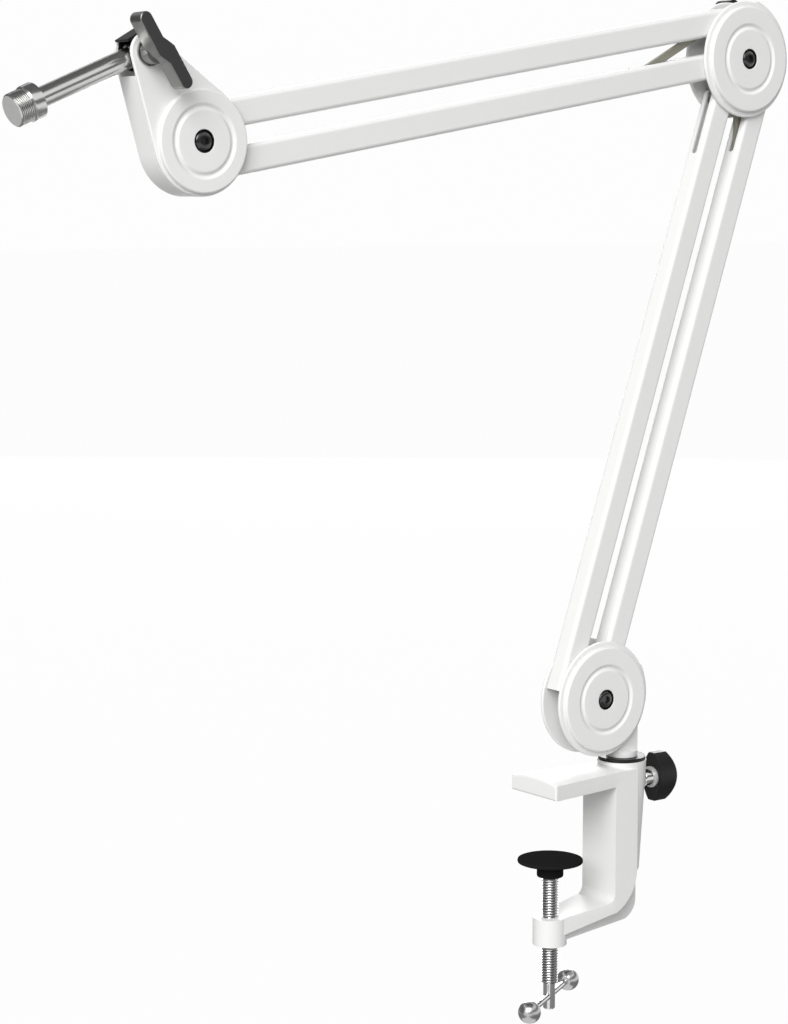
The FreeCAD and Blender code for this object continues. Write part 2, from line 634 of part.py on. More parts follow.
def clamp_screw():
    """Pressure pad, screw with its plain lower end, and the sliding tommy bar."""
    neck = "screw_neck_width / 2"
    roof = "pad_hub_end + pad_socket"
    disc = new_body("pressure_pad")
    profile = new_sketch(disc, "XZ_Plane")
    outline(profile, [
        ("0", f"{roof} + running_play"), (f"{neck} + running_play", f"{roof} + running_play"),
        (f"{neck} + running_play", "pad_hub_end"), ("pad_hub_width / 2", "pad_hub_end"),
        ("pad_hub_width / 2", "-desk_gap - pad_thickness"), ("pad_width / 2", "-desk_gap - pad_thickness"),
        ("pad_width / 2", "-desk_gap"), ("0", "-desk_gap")])
    turned(disc, profile, "V_Axis")
    rim = number("pad_width") / 2
    rounded(disc, "plate_edge", lambda edge: (
        hasattr(edge.Curve, "Radius") and abs(edge.Curve.Radius - rim) < SAME_PLACE))
    part(disc, "pressure_pad")

    screw = new_body("clamp_screw")
    place(screw, angle="tommy_turn")
    profile = new_sketch(screw, "XZ_Plane")
    outline(profile, [
        ("0", "-screw_end"), ("shank_width / 2", "-screw_end"), ("shank_width / 2", "-screw_thread_end"),
        ("screw_width / 2", "-screw_thread_end"), ("screw_width / 2", "pad_hub_end - running_play"),
        (neck, "pad_hub_end - running_play"), (neck, roof), ("0", roof)])
    turned(screw, profile, "V_Axis")
    hole = new_sketch(screw, "YZ_Plane")
    circle(hole, "0", "-tommy_height", "tommy_width / 2 + running_play")
    pocket(screw, hole, "screw_width", both=True)
    part(screw, "clamp_screw")

    bar = new_body("tommy_bar")
    place(bar, angle="tommy_turn")
    section = new_sketch(bar, "YZ_Plane")
    circle(section, "0", "-tommy_height", "tommy_width / 2")
    pad(bar, section, "tommy_span - 2 * ball_flat", both=True)
    part(bar, "tommy_bar")

    balls = []
    for side, turn in (("left", "tommy_turn"), ("right", "tommy_turn + 180")):
        ball = new_body(f"{side}_ball")
        place(ball, "tommy_span / 2 * cos({0})".format(turn), "tommy_span / 2 * sin({0})".format(turn),
              "-tommy_height", angle=turn)
        flat_radius = "sqrt(ball_width^2 / 4 - ball_flat^2)"
        profile = new_sketch(ball, "XZ_Plane")
        outline(profile, [
            ("-ball_flat", "0"), ("ball_width / 2", "0", "ball_width / 2"),
            ("0", "ball_width / 2", "ball_width / 2"), ("-ball_flat", flat_radius)])
        turned(ball, profile, "H_Axis")
        balls.append(ball)
    group("tommy_balls", balls)


# Joint pieces that repeat

def joint_plate(label, x, z, front, shape, holes):
    """One side plate of a joint; shape draws its outline and holes lists x, z and radius."""
    body = new_body(label)
    place(body, x, "0", z)
    sketch = new_sketch(body, "XZ_Plane", "half_gap" if front else "-half_gap")
    shape(sketch)
    pad(body, sketch, "plate_thickness", back=not front)
    rounded(body, "plate_edge", lambda edge: True)
    drill = new_sketch(body, "XZ_Plane")
    for hole in holes:
        circle(drill, *hole)
    pocket(body, drill, "4 * cover_face", both=True)
    part(body, label)


def web(label, x, z, start, end):
    """Curved web that closes a joint between its two plates."""
    body = new_body(label)
    place(body, x, "0", z)
    corner = "{0} * {1}({2})".format
    sketch = new_sketch(body, "XZ_Plane")
    outline(sketch, [
        (corner("web_outer", "cos", start), corner("web_outer", "sin", start), "web_outer"),
        (corner("web_outer", "cos", end), corner("web_outer", "sin", end)),
        (corner("web_inner", "cos", end), corner("web_inner", "sin", end), "-web_inner"),
        (corner("web_inner", "cos", start), corner("web_inner", "sin", start))])
    pad(body, sketch, "2 * half_gap", both=True)
    part(body, label)


def cover(label, x, z, front, radius, groove):
    """Round cover with a ring groove and a recess for its screw."""
    body = new_body(label)
    place(body, x, "-plate_face" if front else "plate_face", z, angle="0" if front else "180")
    hole = "cover_screw_width / 2 + side_play"
    profile = new_sketch(body, "YZ_Plane")
    outline(profile, [
        ("0", hole), ("0", radius), ("-(cover_thickness - cover_edge)", radius, "cover_edge"),
        ("-cover_thickness", f"{radius} - cover_edge"), ("-cover_thickness", f"{groove} + groove_width / 2"),
        ("-(cover_thickness - groove_depth)", groove), ("-cover_thickness", f"{groove} - groove_width / 2"),
        ("-cover_thickness", "sink_width / 2 + sink_chamfer"),
        ("-(cover_thickness - sink_chamfer)", "sink_width / 2"), ("-cover_lip", "sink_width / 2"),
        ("-cover_lip", hole)])
    turned(body, profile, "H_Axis")
    part(body, label)


def cover_screw(name, x, z, front):
    """Socket screw that holds a cover to the spacer."""
    body = new_body(name)
    place(body, x, "-plate_face" if front else "plate_face", z, angle="0" if front else "180")
    head = "-(cover_lip + screw_head_height)"
    profile = new_sketch(body, "YZ_Plane")
    outline(profile, [
        (head, "0"), ("cover_screw_reach", "0"), ("cover_screw_reach", "cover_screw_width / 2"),
        ("-cover_lip", "cover_screw_width / 2"), ("-cover_lip", "screw_head_width / 2"),
        (f"{head} + screw_head_round", "screw_head_width / 2", "screw_head_round"),
        (head, "screw_head_width / 2 - screw_head_round")])
    turned(body, profile, "H_Axis")
    socket = new_sketch(body, "XZ_Plane", "cover_lip + screw_head_height")
    corners = [(f"screw_hex / 2 * cos({60 * n})", f"screw_hex / 2 * sin({60 * n})") for n in range(6)]
    outline(socket, corners)
    pocket(body, socket, "screw_hex_depth")
    return body


def spacer(label, x, z):
    """Threaded spacer between the plates, on the joint's centre line."""
    body = new_body(label)
    place(body, x, "0", z)
    section = new_sketch(body, "XZ_Plane")
    circle(section, "0", "0", "spacer_width / 2")
    circle(section, "0", "0", "spacer_seat")
    pad(body, section, "2 * half_gap", both=True)
    part(body, label)


def round_plate(sketch):
    """Outline of a base or elbow plate."""
    circle(sketch, "0", "0", "joint_radius")


CENTRE_HOLE = ("0", "0", "cover_screw_width / 2 + side_play")


# Base joint

def base_joint():
    """Swivelling base: post, plates, web, covers, pins and rivets."""
    post = new_body("swivel_post")
    place(post, "post_offset")
    shoulder = "flange_top + running_play"
    tang = "base_height - tang_top"
    profile = new_sketch(post, "XZ_Plane")
    outline(profile, [
        ("0", "boss_top - spigot_depth"), ("spigot_width / 2", "boss_top - spigot_depth"),
        ("spigot_width / 2", shoulder), ("neck_width / 2", shoulder), ("neck_width / 2", tang), ("0", tang)])
    turned(post, profile, "V_Axis")
    flats = new_sketch(post, "XY_Plane", "base_height - joint_radius - side_play")
    for side in ("", "-"):
        near = f"{side}(half_gap)"
        far = f"{side}neck_width"
        low, high = (near, far) if side == "" else (far, near)
        outline(flats, [("-neck_width", low), ("neck_width", low), ("neck_width", high), ("-neck_width", high)])
    pocket(post, flats, "joint_radius", back=True)
    drill = new_sketch(post, "XZ_Plane")
    rivet_heights = [f"{tang} - rivet_edge", f"{tang} - rivet_edge - rivet_spacing"]
    for height in rivet_heights:
        circle(drill, "0", height, "rivet_width / 2 + seat_play")
    pocket(post, drill, "neck_width", both=True)
    part(post, "swivel_post")

    holes = [
        CENTRE_HOLE, ("base_left_x", "base_left_z", "pin_seat"), ("base_right_x", "base_right_z", "pin_seat")]
    holes += [
        ("base_offset", f"{height} - base_height", "rivet_width / 2 + seat_play") for height in rivet_heights]
    for label, front in (("base_front_plate", True), ("base_rear_plate", False)):
        joint_plate(label, "base_x", "base_height", front, round_plate, holes)
    web("base_web", "base_x", "base_height", "base_web_start", "base_web_end")
    for label, front in (("base_front_cover", True), ("base_rear_cover", False)):
        cover(label, "base_x", "base_height", front, "joint_cover", "joint_groove")
    group("base_cover_screws", [
        cover_screw(f"base_screw_{front}", "base_x", "base_height", front) for front in (True, False)])
    spacer("base_spacer", "base_x", "base_height")
    group("base_pivot_pins", [
        cross_pin("base_left_pin", "lower_left_x", "lower_left_z"),
        cross_pin("base_right_pin", "lower_right_x", "lower_right_z")])
    group("post_rivets", [
        cross_pin(f"rivet_{n}", "post_offset", height, "rivet_width")
        for n, height in enumerate(rivet_heights)])


# Arm bars, springs and straps

def arm_bar(label, length, slot, x, z, angle):
    """Square tube with square outer end, cut elbow end and strap slots in its two edge faces."""
    body = new_body(label)
    place(body, x, "0", z, (0, -1, 0), angle)
    section = new_sketch(body, "YZ_Plane", "-bar_tail")
    rounded_box(section, "bar_depth", "bar_width", "bar_corner")
    rounded_box(section, "bar_depth - 2 * bar_wall", "bar_width - 2 * bar_wall", "(bar_corner - bar_wall)")
    pad(body, section, f"{length} + bar_tail + bar_tongue")
    end = f"{length} + bar_tongue"
    half = "bar_width / 2"
    corners = new_sketch(body, "XZ_Plane")
    outline(corners, [
        (f"{end} - tongue_chamfer", half), (end, f"{half} - tongue_chamfer"),
        (f"{end} + cut_margin", f"{half} - tongue_chamfer"), (f"{end} + cut_margin", f"{half} + cut_margin"),
        (f"{end} - tongue_chamfer", f"{half} + cut_margin")])
    outline(corners, [
        (f"{end} - tongue_chamfer", f"-{half}"), (f"{end} - tongue_chamfer", f"-{half} - cut_margin"),
        (f"{end} + cut_margin", f"-{half} - cut_margin"), (f"{end} + cut_margin", f"-{half} + tongue_chamfer"),
        (end, f"-{half} + tongue_chamfer")])
    pocket(body, corners, "2 * bar_depth", both=True)
    slots = new_sketch(body, "XY_Plane")
    # a shallow arc closes the slot; at five eighths of the width its rise is a quarter of the width
    closed_end = f"{length} - {slot} + slot_width / 4"
    outline(slots, [
        (closed_end, "-slot_width / 2"), (f"{end} + cut_margin", "-slot_width / 2"),
        (f"{end} + cut_margin", "slot_width / 2"), (closed_end, "slot_width / 2", "slot_width * 5 / 8")])
    pocket(body, slots, "2 * bar_width", both=True)
    drill = new_sketch(body, "XZ_Plane")
    circle(drill, "0", "0", "pin_hole")
    circle(drill, length, "0", "pin_hole")
    pocket(body, drill, "2 * bar_depth", both=True)
    part(body, label)


def strap(label, x, z, angle, length, eye):
    """Flat strap with an eye at the joint and a hook end for the spring."""
    body = new_body(label)
    place(body, x, "0", z, (0, -1, 0), angle)
    ring = new_sketch(body, "XZ_Plane")
    circle(ring, "0", "0", f"{eye} + strap_eye_wall")
    pad(body, ring, "strap_thickness", both=True)
    blade = new_sketch(body, "XZ_Plane")
    half = "strap_height / 2"
    outline(blade, [("0", f"-{half}"), (length, f"-{half}"), (length, half), ("0", half)])
    pad(body, blade, "strap_thickness", both=True)
    hook = new_sketch(body, "XZ_Plane")
    circle(hook, length, "0", "strap_hook_width / 2")
    pad(body, hook, "strap_thickness", both=True)
    drill = new_sketch(body, "XZ_Plane")
    circle(drill, "0", "0", eye)
    circle(drill, length, "0", "strap_hole_width / 2")
    pocket(body, drill, "2 * strap_thickness", both=True)
    part(body, label)


def spring(label, x, z, angle, hook):
    """Tension spring inside a bar and the plug that holds its far end."""
    body = new_body(label)
    place(body, x, "0", z, (0, -1, 0), angle)
    section = new_sketch(body, "YZ_Plane", f"{hook} - spring_lead - spring_length")
    circle(section, "0", "0", "spring_width / 2")
    circle(section, "0", "0", "spring_width / 2 - spring_wire")
    pad(body, section, "spring_length")
    part(body, label)
    plug = new_body(label + "_anchor")
    place(plug, x, "0", z, (0, -1, 0), angle)
    section = new_sketch(plug, "YZ_Plane", f"{hook} - spring_lead - spring_length - anchor_length")
    inside = "{0} - 2 * bar_wall - 2 * seat_play".format
    rounded_box(section, inside("bar_depth"), inside("bar_width"), "(bar_corner - bar_wall)")
    pad(plug, section, "anchor_length")
    part(plug, label + "_anchor")


def lower_arm():
    """Both lower bars, and the strap and spring that carry the arm's weight."""
    arm_bar("lower_left_bar", "lower_length", "lower_left_slot",
            "lower_left_x", "lower_left_z", "lower_angle")
    arm_bar("lower_right_bar", "lower_length", "lower_right_slot",
            "lower_right_x", "lower_right_z", "lower_angle")
    strap("lower_strap", "elbow_x", "elbow_z", "lower_angle + 180 + lower_strap_lean",
          "lower_strap_length", "spacer_width / 2 + running_play")
    foot = "lower_length - elbow_right_x * cos(lower_angle) - elbow_right_z * sin(lower_angle)"
    spring("lower_spring", "lower_right_x", "lower_right_z", "lower_angle",
           f"{foot} - lower_strap_length * cos(lower_strap_lean)")


def upper_arm():
    """Both upper bars, and the strap and spring that carry the arm's weight."""
    arm_bar("upper_top_bar", "upper_length", "upper_top_slot",
            "upper_top_x", "upper_top_z", "upper_slope")
    arm_bar("upper_bottom_bar", "upper_length", "upper_bottom_slot",
            "upper_top_x", "upper_bottom_z", "upper_slope")
    strap("upper_strap", "elbow_x + elbow_top_x", "elbow_z + elbow_top_z",
          "upper_slope + 180 + upper_strap_lean", "upper_strap_length", "pin_hole")
    foot = "upper_length + upper_pivot_gap * sin(upper_slope)"
    spring("upper_spring", "upper_top_x", "upper_bottom_z", "upper_slope",
           f"{foot} - upper_strap_length * cos(upper_strap_lean)")


# Elbow joint

def lever(label, x, y, z, axis, angle, span, tail, width, rise, depth, front, bolt, bolt_length):
    """Lever with two arms that step past each other, and the bolt that it turns."""
    body = new_body(label)
    place(body, x, y, z, axis, angle)
    hub = new_sketch(body, "XZ_Plane")
    circle(hub, "0", "0", "lever_hub / 2")
    pad(body, hub, f"{rise} + cut_margin", back=not front)
    arms = new_sketch(body, "XZ_Plane", rise if front else f"-{rise}")
    half = f"{width} / 2"
    tip = f"{span} / 2"
    outline(arms, [
        (f"lever_step + {half}", f"-{tail}"), (f"lever_step + {half}", "0"),
        (f"{half} - lever_step", "lever_run"), (f"{half} - lever_step", tip, half),
        ("-lever_step", f"{tip} + {half}", half), (f"-lever_step - {half}", tip),
        (f"-lever_step - {half}", "0"), (f"lever_step - {half}", "-lever_run"),
        (f"lever_step - {half}", f"-{tail}", half), ("lever_step", f"-{tail} - {half}", half)])
    pad(body, arms, depth, back=not front)
    face = number(f"{rise} + {depth}") * (-1 if front else 1)
    rounded(body, "lever_edge", lambda edge: all(abs(v.Y - face) < SAME_PLACE for v in edge.Vertexes))
    drill = new_sketch(body, "XZ_Plane")
    circle(drill, "0", "0", f"{bolt} / 2 + seat_play")
    pocket(body, drill, f"{rise} + {depth} / 2", back=front)
    part(body, label)
    reach = f"{rise} + {depth} / 2"
    return rod(label + "_bolt", f"{bolt} / 2", f"{reach} + {bolt_length}", x,
               f"{y} - ({reach})" if front else f"{y} + {reach}", z,
               (-1, 0, 0) if front else (1, 0, 0), "90")


def elbow_joint():
    """Elbow: plates, web, covers, four pivots, and the tension lever behind."""
    pivots = [
        ("elbow_left_x", "elbow_left_z"), ("elbow_right_x", "elbow_right_z"),
        ("elbow_top_x", "elbow_top_z"), ("elbow_top_x", "elbow_low_z")]
    holes = [CENTRE_HOLE] + [(x, z, "pin_seat") for x, z in pivots]
    for label, front in (("elbow_front_plate", True), ("elbow_rear_plate", False)):
        joint_plate(label, "elbow_x", "elbow_z", front, round_plate, holes)
    web("elbow_web", "elbow_x", "elbow_z", "elbow_web_start", "elbow_web_end")
    for label, front in (("elbow_front_cover", True), ("elbow_rear_cover", False)):
        cover(label, "elbow_x", "elbow_z", front, "joint_cover", "joint_groove")
    part(cover_screw("elbow_cover_screw", "elbow_x", "elbow_z", True), "elbow_cover_screw")
    spacer("elbow_spacer", "elbow_x", "elbow_z")
    group("elbow_pivot_pins", [
        cross_pin(f"elbow_pin_{n}", f"elbow_x + {x}", f"elbow_z + {z}") for n, (x, z) in enumerate(pivots)])
    bolt = lever("elbow_lever", "elbow_x", "cover_face + lever_gap", "elbow_z", (0, 1, 0), "elbow_lever_turn",
                 "elbow_lever_span", "elbow_lever_tail", "elbow_lever_width", "elbow_hub_rise",
                 "elbow_lever_depth", False, "cover_screw_width", "elbow_bolt_reach")
    part(bolt, "elbow_lever_bolt")


# Head joint

def head_joint():
    """Head: teardrop front plate, rear shell with its side wall, covers, pivots and the stud's nut."""
    wide = ("0", "0", "head_radius")
    narrow = ("stud_pivot_x", "stud_pivot_z", "head_tip_radius")
    holes = [
        CENTRE_HOLE, ("head_pivot_x", "head_pivot_z", "pin_seat"), ("head_pivot_x", "head_low_z", "pin_seat"),
        ("stud_pivot_x", "stud_pivot_z", "pivot_bolt_width / 2 + running_play")]
    joint_plate("head_front_plate", "head_x", "head_z", True, lambda sketch: belt(sketch, wide, narrow), holes)

    shell = new_body("head_rear_shell")
    place(shell, "head_x", "0", "head_z")
    wall = new_sketch(shell, "XZ_Plane", "-half_gap")
    belt(wall, wide, narrow)
    belt(wall, *[(x, z, f"{radius} - wall_thickness") for x, z, radius in (wide, narrow)])
    pad(shell, wall, "2 * half_gap")
    opening = new_sketch(shell, "XZ_Plane")
    far = "3 * head_radius"
    outline(opening, [
        ("0", f"-{far}"), (far, f"-{far}"), (far, far), (f"-{far}", far), (f"-{far}", "wall_top"),
        ("-head_radius / 2", "wall_top"), ("0", "0")])
    pocket(shell, opening, "4 * half_gap", both=True)
    back = new_sketch(shell, "XZ_Plane", "-half_gap")
    belt(back, wide, narrow)
    pad(shell, back, "plate_thickness", back=True)
    drill = new_sketch(shell, "XZ_Plane", "-plate_face - plate_thickness")
    for hole in holes:
        circle(drill, *hole)
    pocket(shell, drill, "2 * plate_thickness + side_play", back=True)
    part(shell, "head_rear_shell")

    for label, front in (("head_front_cover", True), ("head_rear_cover", False)):
        cover(label, "head_x", "head_z", front, "head_cover", "head_groove")
    group("head_cover_screws", [
        cover_screw(f"head_screw_{front}", "head_x", "head_z", front) for front in (True, False)])
    spacer("head_spacer", "head_x", "head_z")
    group("head_pivot_pins", [
        cross_pin("head_top_pin", "upper_top_x", "upper_top_z"),
        cross_pin("head_low_pin", "upper_top_x", "upper_bottom_z")])

    washer = new_body("lever_washer")
    place(washer, "stud_x", "0", "stud_z")
    ring = new_sketch(washer, "XZ_Plane", "plate_face")
    circle(ring, "0", "0", "washer_width / 2")
    circle(ring, "0", "0", "pivot_bolt_width / 2 + running_play")
    pad(washer, ring, "washer_thickness")
    part(washer, "lever_washer")

    nut = new_body("stud_nut")
    place(nut, "stud_x", "0", "stud_z")
    hexagon = new_sketch(nut, "XZ_Plane", "-plate_face")
    outline(hexagon, [(f"nut_width / 2 * cos({60 * n})", f"nut_width / 2 * sin({60 * n})") for n in range(6)])
    circle(hexagon, "0", "0", "pivot_bolt_width / 2 + running_play")
    pad(nut, hexagon, "nut_thickness", back=True)
    part(nut, "stud_nut")

    bolt = lever("head_lever", "stud_x", "-plate_face - washer_thickness - lever_gap", "stud_z", (0, -1, 0),
                 "lever_turn", "lever_span", "lever_span / 2", "lever_width", "lever_hub_rise", "lever_depth",
                 True, "pivot_bolt_width",
                 "lever_gap + washer_thickness + 2 * plate_face + nut_thickness + side_play")
    part(bolt, "head_lever_bolt")


def mic_stud():
    """Tilting stud: eyed rod, threaded tip for the microphone, and the friction clip on its eye."""
    angle = "180 + stud_angle"
    stem = new_body("stud_rod")
    place(stem, "stud_x", "0", "stud_z", (0, -1, 0), angle)
    eye = new_sketch(stem, "XZ_Plane")
    circle(eye, "0", "0", "eye_width / 2")
    pad(stem, eye, "eye_thickness", both=True)
    section = new_sketch(stem, "YZ_Plane", "eye_width / 2 - rod_root")
    circle(section, "0", "0", "stud_width / 2")
    pad(stem, section, "stud_length - eye_width / 2 + rod_root")
    drill = new_sketch(stem, "XZ_Plane")
    circle(drill, "0", "0", "pivot_bolt_width / 2 + running_play")
    pocket(stem, drill, "2 * stud_width", both=True)
    part(stem, "stud_rod")

    tip = new_body("thread_tip")
    place(tip, "stud_x", "0", "stud_z", (0, -1, 0), angle)
    collar = "stud_length + collar_length"
    end = f"{collar} + thread_length"
    profile = new_sketch(tip, "XZ_Plane")
    outline(profile, [
        ("stud_length", "0"), (end, "0"), (end, "thread_width / 2 - thread_chamfer"),
        (f"{end} - thread_chamfer", "thread_width / 2"), (collar, "thread_width / 2"),
        (collar, "collar_width / 2 - collar_chamfer"), (f"{collar} - collar_chamfer", "collar_width / 2"),
        ("stud_length + collar_chamfer", "collar_width / 2"),
        ("stud_length", "collar_width / 2 - collar_chamfer")])
    turned(tip, profile, "H_Axis")
    part(tip, "thread_tip")

    clip = new_body("friction_clip")
    place(clip, "stud_x", "0", "stud_z", (0, -1, 0), "clip_turn")
    outer = "half_gap - clip_play"
    inner = "stud_width / 2 + seat_play"
    bridge = new_sketch(clip, "XZ_Plane")
    half = "clip_bridge_width / 2"
    outline(bridge, [
        (f"-{half}", "clip_reach - clip_bridge"), (half, "clip_reach - clip_bridge"),
        (half, "clip_reach"), (f"-{half}", "clip_reach")])
    pad(clip, bridge, f"2 * ({outer})", both=True)
    for front in (True, False):
        cheek = new_sketch(clip, "XZ_Plane", inner if front else f"-({inner})")
        belt(cheek, ("0", "0", "clip_width / 2"), ("0", f"clip_reach - {half}", half))
        pad(clip, cheek, f"{outer} - ({inner})", back=not front)
    drill = new_sketch(clip, "XZ_Plane")
    circle(drill, "0", "0", "pivot_bolt_width / 2 + running_play")
    pocket(clip, drill, "4 * half_gap", both=True)
    part(clip, "friction_clip")


clamp_frame()
socket_bush()
lock_knob()
clamp_screw()
base_joint()
lower_arm()
elbow_joint()
upper_arm()
head_joint()
mic_stud()
doc.recompute()

for item in doc.Objects:
    if {"Invalid", "Error"} & set(item.State):
        raise RuntimeError(f"{item.Label} did not build: {item.State}")
for item in parts:
    if item.Shape.isNull() or not item.Shape.isValid() or not item.Shape.Solids:
        raise RuntimeError(f"{item.Label} has no valid solid")

os.makedirs("parts", exist_ok=True)
for item in parts:
    item.Shape.exportStep(f"parts/{item.Label}.step")
    print(f"{item.Label}: {len(item.Shape.Solids)} solid(s), {item.Shape.Volume:.1f} mm3")
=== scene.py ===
"""Looks of a white microphone boom arm with a desk clamp, built round its packed construction.

All lengths are metres in the construction's own frame: the origin lies on the underside of the clamp's
jaw, on the clamp screw's axis, +Z is up and the arm folds in the XZ plane. Names that end in _mm hold
millimetres, names that end in _deg degrees.
"""

from __future__ import annotations

import json
import logging
import math
from abc import ABC, abstractmethod
from dataclasses import dataclass, field
from enum import Enum, IntEnum
from typing import Any, Callable, Optional, Sequence

import bpy
from mathutils import Matrix, Vector

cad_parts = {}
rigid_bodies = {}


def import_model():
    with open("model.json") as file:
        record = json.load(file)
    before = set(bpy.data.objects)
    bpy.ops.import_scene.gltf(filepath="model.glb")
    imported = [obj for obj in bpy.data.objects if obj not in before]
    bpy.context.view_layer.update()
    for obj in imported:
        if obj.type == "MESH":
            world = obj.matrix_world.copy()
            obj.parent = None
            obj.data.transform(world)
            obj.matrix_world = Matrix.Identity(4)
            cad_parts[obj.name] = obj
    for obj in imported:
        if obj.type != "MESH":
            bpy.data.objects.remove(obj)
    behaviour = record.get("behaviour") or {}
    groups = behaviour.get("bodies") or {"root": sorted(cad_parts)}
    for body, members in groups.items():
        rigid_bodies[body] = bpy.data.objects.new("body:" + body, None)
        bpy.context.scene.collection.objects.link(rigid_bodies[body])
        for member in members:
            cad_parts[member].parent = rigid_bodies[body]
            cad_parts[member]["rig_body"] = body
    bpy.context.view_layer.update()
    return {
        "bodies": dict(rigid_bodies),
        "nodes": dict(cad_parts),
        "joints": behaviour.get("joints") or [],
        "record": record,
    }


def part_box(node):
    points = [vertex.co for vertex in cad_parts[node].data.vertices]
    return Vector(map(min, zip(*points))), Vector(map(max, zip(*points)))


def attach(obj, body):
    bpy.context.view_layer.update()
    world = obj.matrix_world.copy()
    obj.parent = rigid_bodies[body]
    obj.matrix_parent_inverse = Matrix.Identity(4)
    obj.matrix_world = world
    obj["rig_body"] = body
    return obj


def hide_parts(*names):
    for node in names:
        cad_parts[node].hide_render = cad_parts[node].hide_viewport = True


log = logging.getLogger("boom_arm")

MM = 0.001
# Points nearer than this are one point, and triangles that meet flatter than this are one face.
MERGE = 0.002 * MM
FLAT_DEG = 0.6
# Edges sharper than this are broken.
HARD_EDGE_DEG = 32.0
# Least cosine between an axis and the normal of a face that looks along it.
END_ON = 0.9
# Noise of the finishes: octaves of the cloud and of the grain, and the part of the cloud's values in use.
CLOUD_DETAIL = 3.0
CLOUD_RANGE = (0.3, 0.7)
GRAIN_DETAIL = 2.0
# A thread's tooth in shares of its pitch: where the flank starts, where the crest starts and where it ends.
FLANK_FROM, CREST_FROM, CREST_TO = 0.24, 0.46, 0.78
# Turns wound below a thread's lower end, and turns wound in all beyond its length, before both ends are cut.
LEAD_TURNS, SPARE_TURNS = 1.5, 3
# A face belongs to a thread's bottom, which takes painted shade, within this distance of it and up to this
# cosine with the axis.
ROOT_BAND = 0.12 * MM
ROOT_TILT = 0.5
# Radius of the ring groove on each joint's covers.
GROOVE_MM = {"base": 17.8, "elbow": 17.8, "head": 16.2}

Point = tuple[float, float]
Test = Callable[[Vector, Vector], bool]


class Cut(str, Enum):
    """How two solids are combined."""

    ADD = "UNION"
    REMOVE = "DIFFERENCE"
    KEEP_COMMON = "INTERSECT"


class Side(IntEnum):
    """Which side of the arm a piece looks to, as the sign of Y."""

    FRONT = -1
    REAR = 1


class Way(Enum):
    """Unit steps of radius and height in a turned profile."""

    IN = (-1, 0)
    OUT = (1, 0)
    DOWN = (0, -1)
    UP = (0, 1)


# Node and colour helpers

def linear(hex_colour: str) -> tuple[float, float, float, float]:
    """Turns an sRGB hex colour to linear values.

    Args:
        hex_colour: Six hex digits after a hash mark.

    Returns:
        Linear red, green, blue and an alpha of one.
    """
    channels = [int(hex_colour[i:i + 2], 16) / 255 for i in (1, 3, 5)]
    lit = [c / 12.92 if c <= 0.04045 else ((c + 0.055) / 1.055) ** 2.4 for c in channels]
    return (lit[0], lit[1], lit[2], 1.0)


def add_node(tree: bpy.types.NodeTree, kind: str, settings: Optional[dict[str, Any]] = None,
             inputs: Optional[dict[Any, Any]] = None) -> bpy.types.Node:
    """Adds one node with its settings, socket values and incoming links.

    Args:
        tree: Node tree that takes the node.
        kind: Blender's name of the node type.
        settings: Properties of the node.
        inputs: Values by socket name or number; an output socket is linked instead.

    Returns:
        The new node.
    """
    node = tree.nodes.new(kind)
    for name, value in (settings or {}).items():
        setattr(node, name, value)
    for name, value in (inputs or {}).items():
        if isinstance(value, bpy.types.NodeSocket):
            tree.links.new(value, node.inputs[name])
        else:
            node.inputs[name].default_value = value
    return node


def empty_tree(owner: bpy.types.Material | bpy.types.World) -> bpy.types.NodeTree:
    """Gives a material or a world an empty node tree.

    Args:
        owner: What the tree belongs to.

    Returns:
        The tree.
    """
    owner.use_nodes = True
    owner.node_tree.nodes.clear()
    return owner.node_tree


@dataclass(frozen=True)
class Finish:
    """One surface: what it is made of and how fine its grain is.

    The grain is a fine bump, the cloud a slow drift of colour and gloss over the surface.
    """

    name: str
    colour: str
    drift_colour: str
    roughness: float
    roughness_drift: float = 0.06
    metallic: float = 0.0
    ior: float = 1.5
    coat: float = 0.0
    specular: float = 0.5
    grain_mm: float = 1.6
    grain_depth_mm: float = 0.02
    grain_strength: float = 0.25
    cloud_mm: float = 45.0

    def build(self) -> bpy.types.Material:
        """Makes the material's nodes.

        Returns:
            The finished material.
        """
        material = bpy.data.materials.new(self.name)
        tree = empty_tree(material)
        place = add_node(tree, "ShaderNodeTexCoord").outputs["Object"]
        cloud = add_node(tree, "ShaderNodeTexNoise", None,
                         {"Vector": place, "Scale": 1 / (self.cloud_mm * MM), "Detail": CLOUD_DETAIL})
        tint = add_node(tree, "ShaderNodeMix", {"data_type": "RGBA"},
                        {0: cloud.outputs["Fac"], 6: linear(self.colour), 7: linear(self.drift_colour)})
        gloss = add_node(tree, "ShaderNodeMapRange", None,
                         {"Value": cloud.outputs["Fac"], "From Min": CLOUD_RANGE[0], "From Max": CLOUD_RANGE[1],
                          "To Min": self.roughness - self.roughness_drift,
                          "To Max": self.roughness + self.roughness_drift})
        grain = add_node(tree, "ShaderNodeTexNoise", None,
                         {"Vector": place, "Scale": 1 / (self.grain_mm * MM), "Detail": GRAIN_DETAIL})
        bump = add_node(tree, "ShaderNodeBump", None,
                        {"Height": grain.outputs["Fac"], "Strength": self.grain_strength,
                         "Distance": self.grain_depth_mm * MM})
        shader = add_node(tree, "ShaderNodeBsdfPrincipled", None,
                          {"Base Color": tint.outputs[2], "Roughness": gloss.outputs["Result"],
                           "Metallic": self.metallic, "IOR": self.ior, "Coat Weight": self.coat,
                           "Specular IOR Level": self.specular, "Normal": bump.outputs["Normal"]})
        add_node(tree, "ShaderNodeOutputMaterial", None, {"Surface": shader.outputs["BSDF"]})
        return material


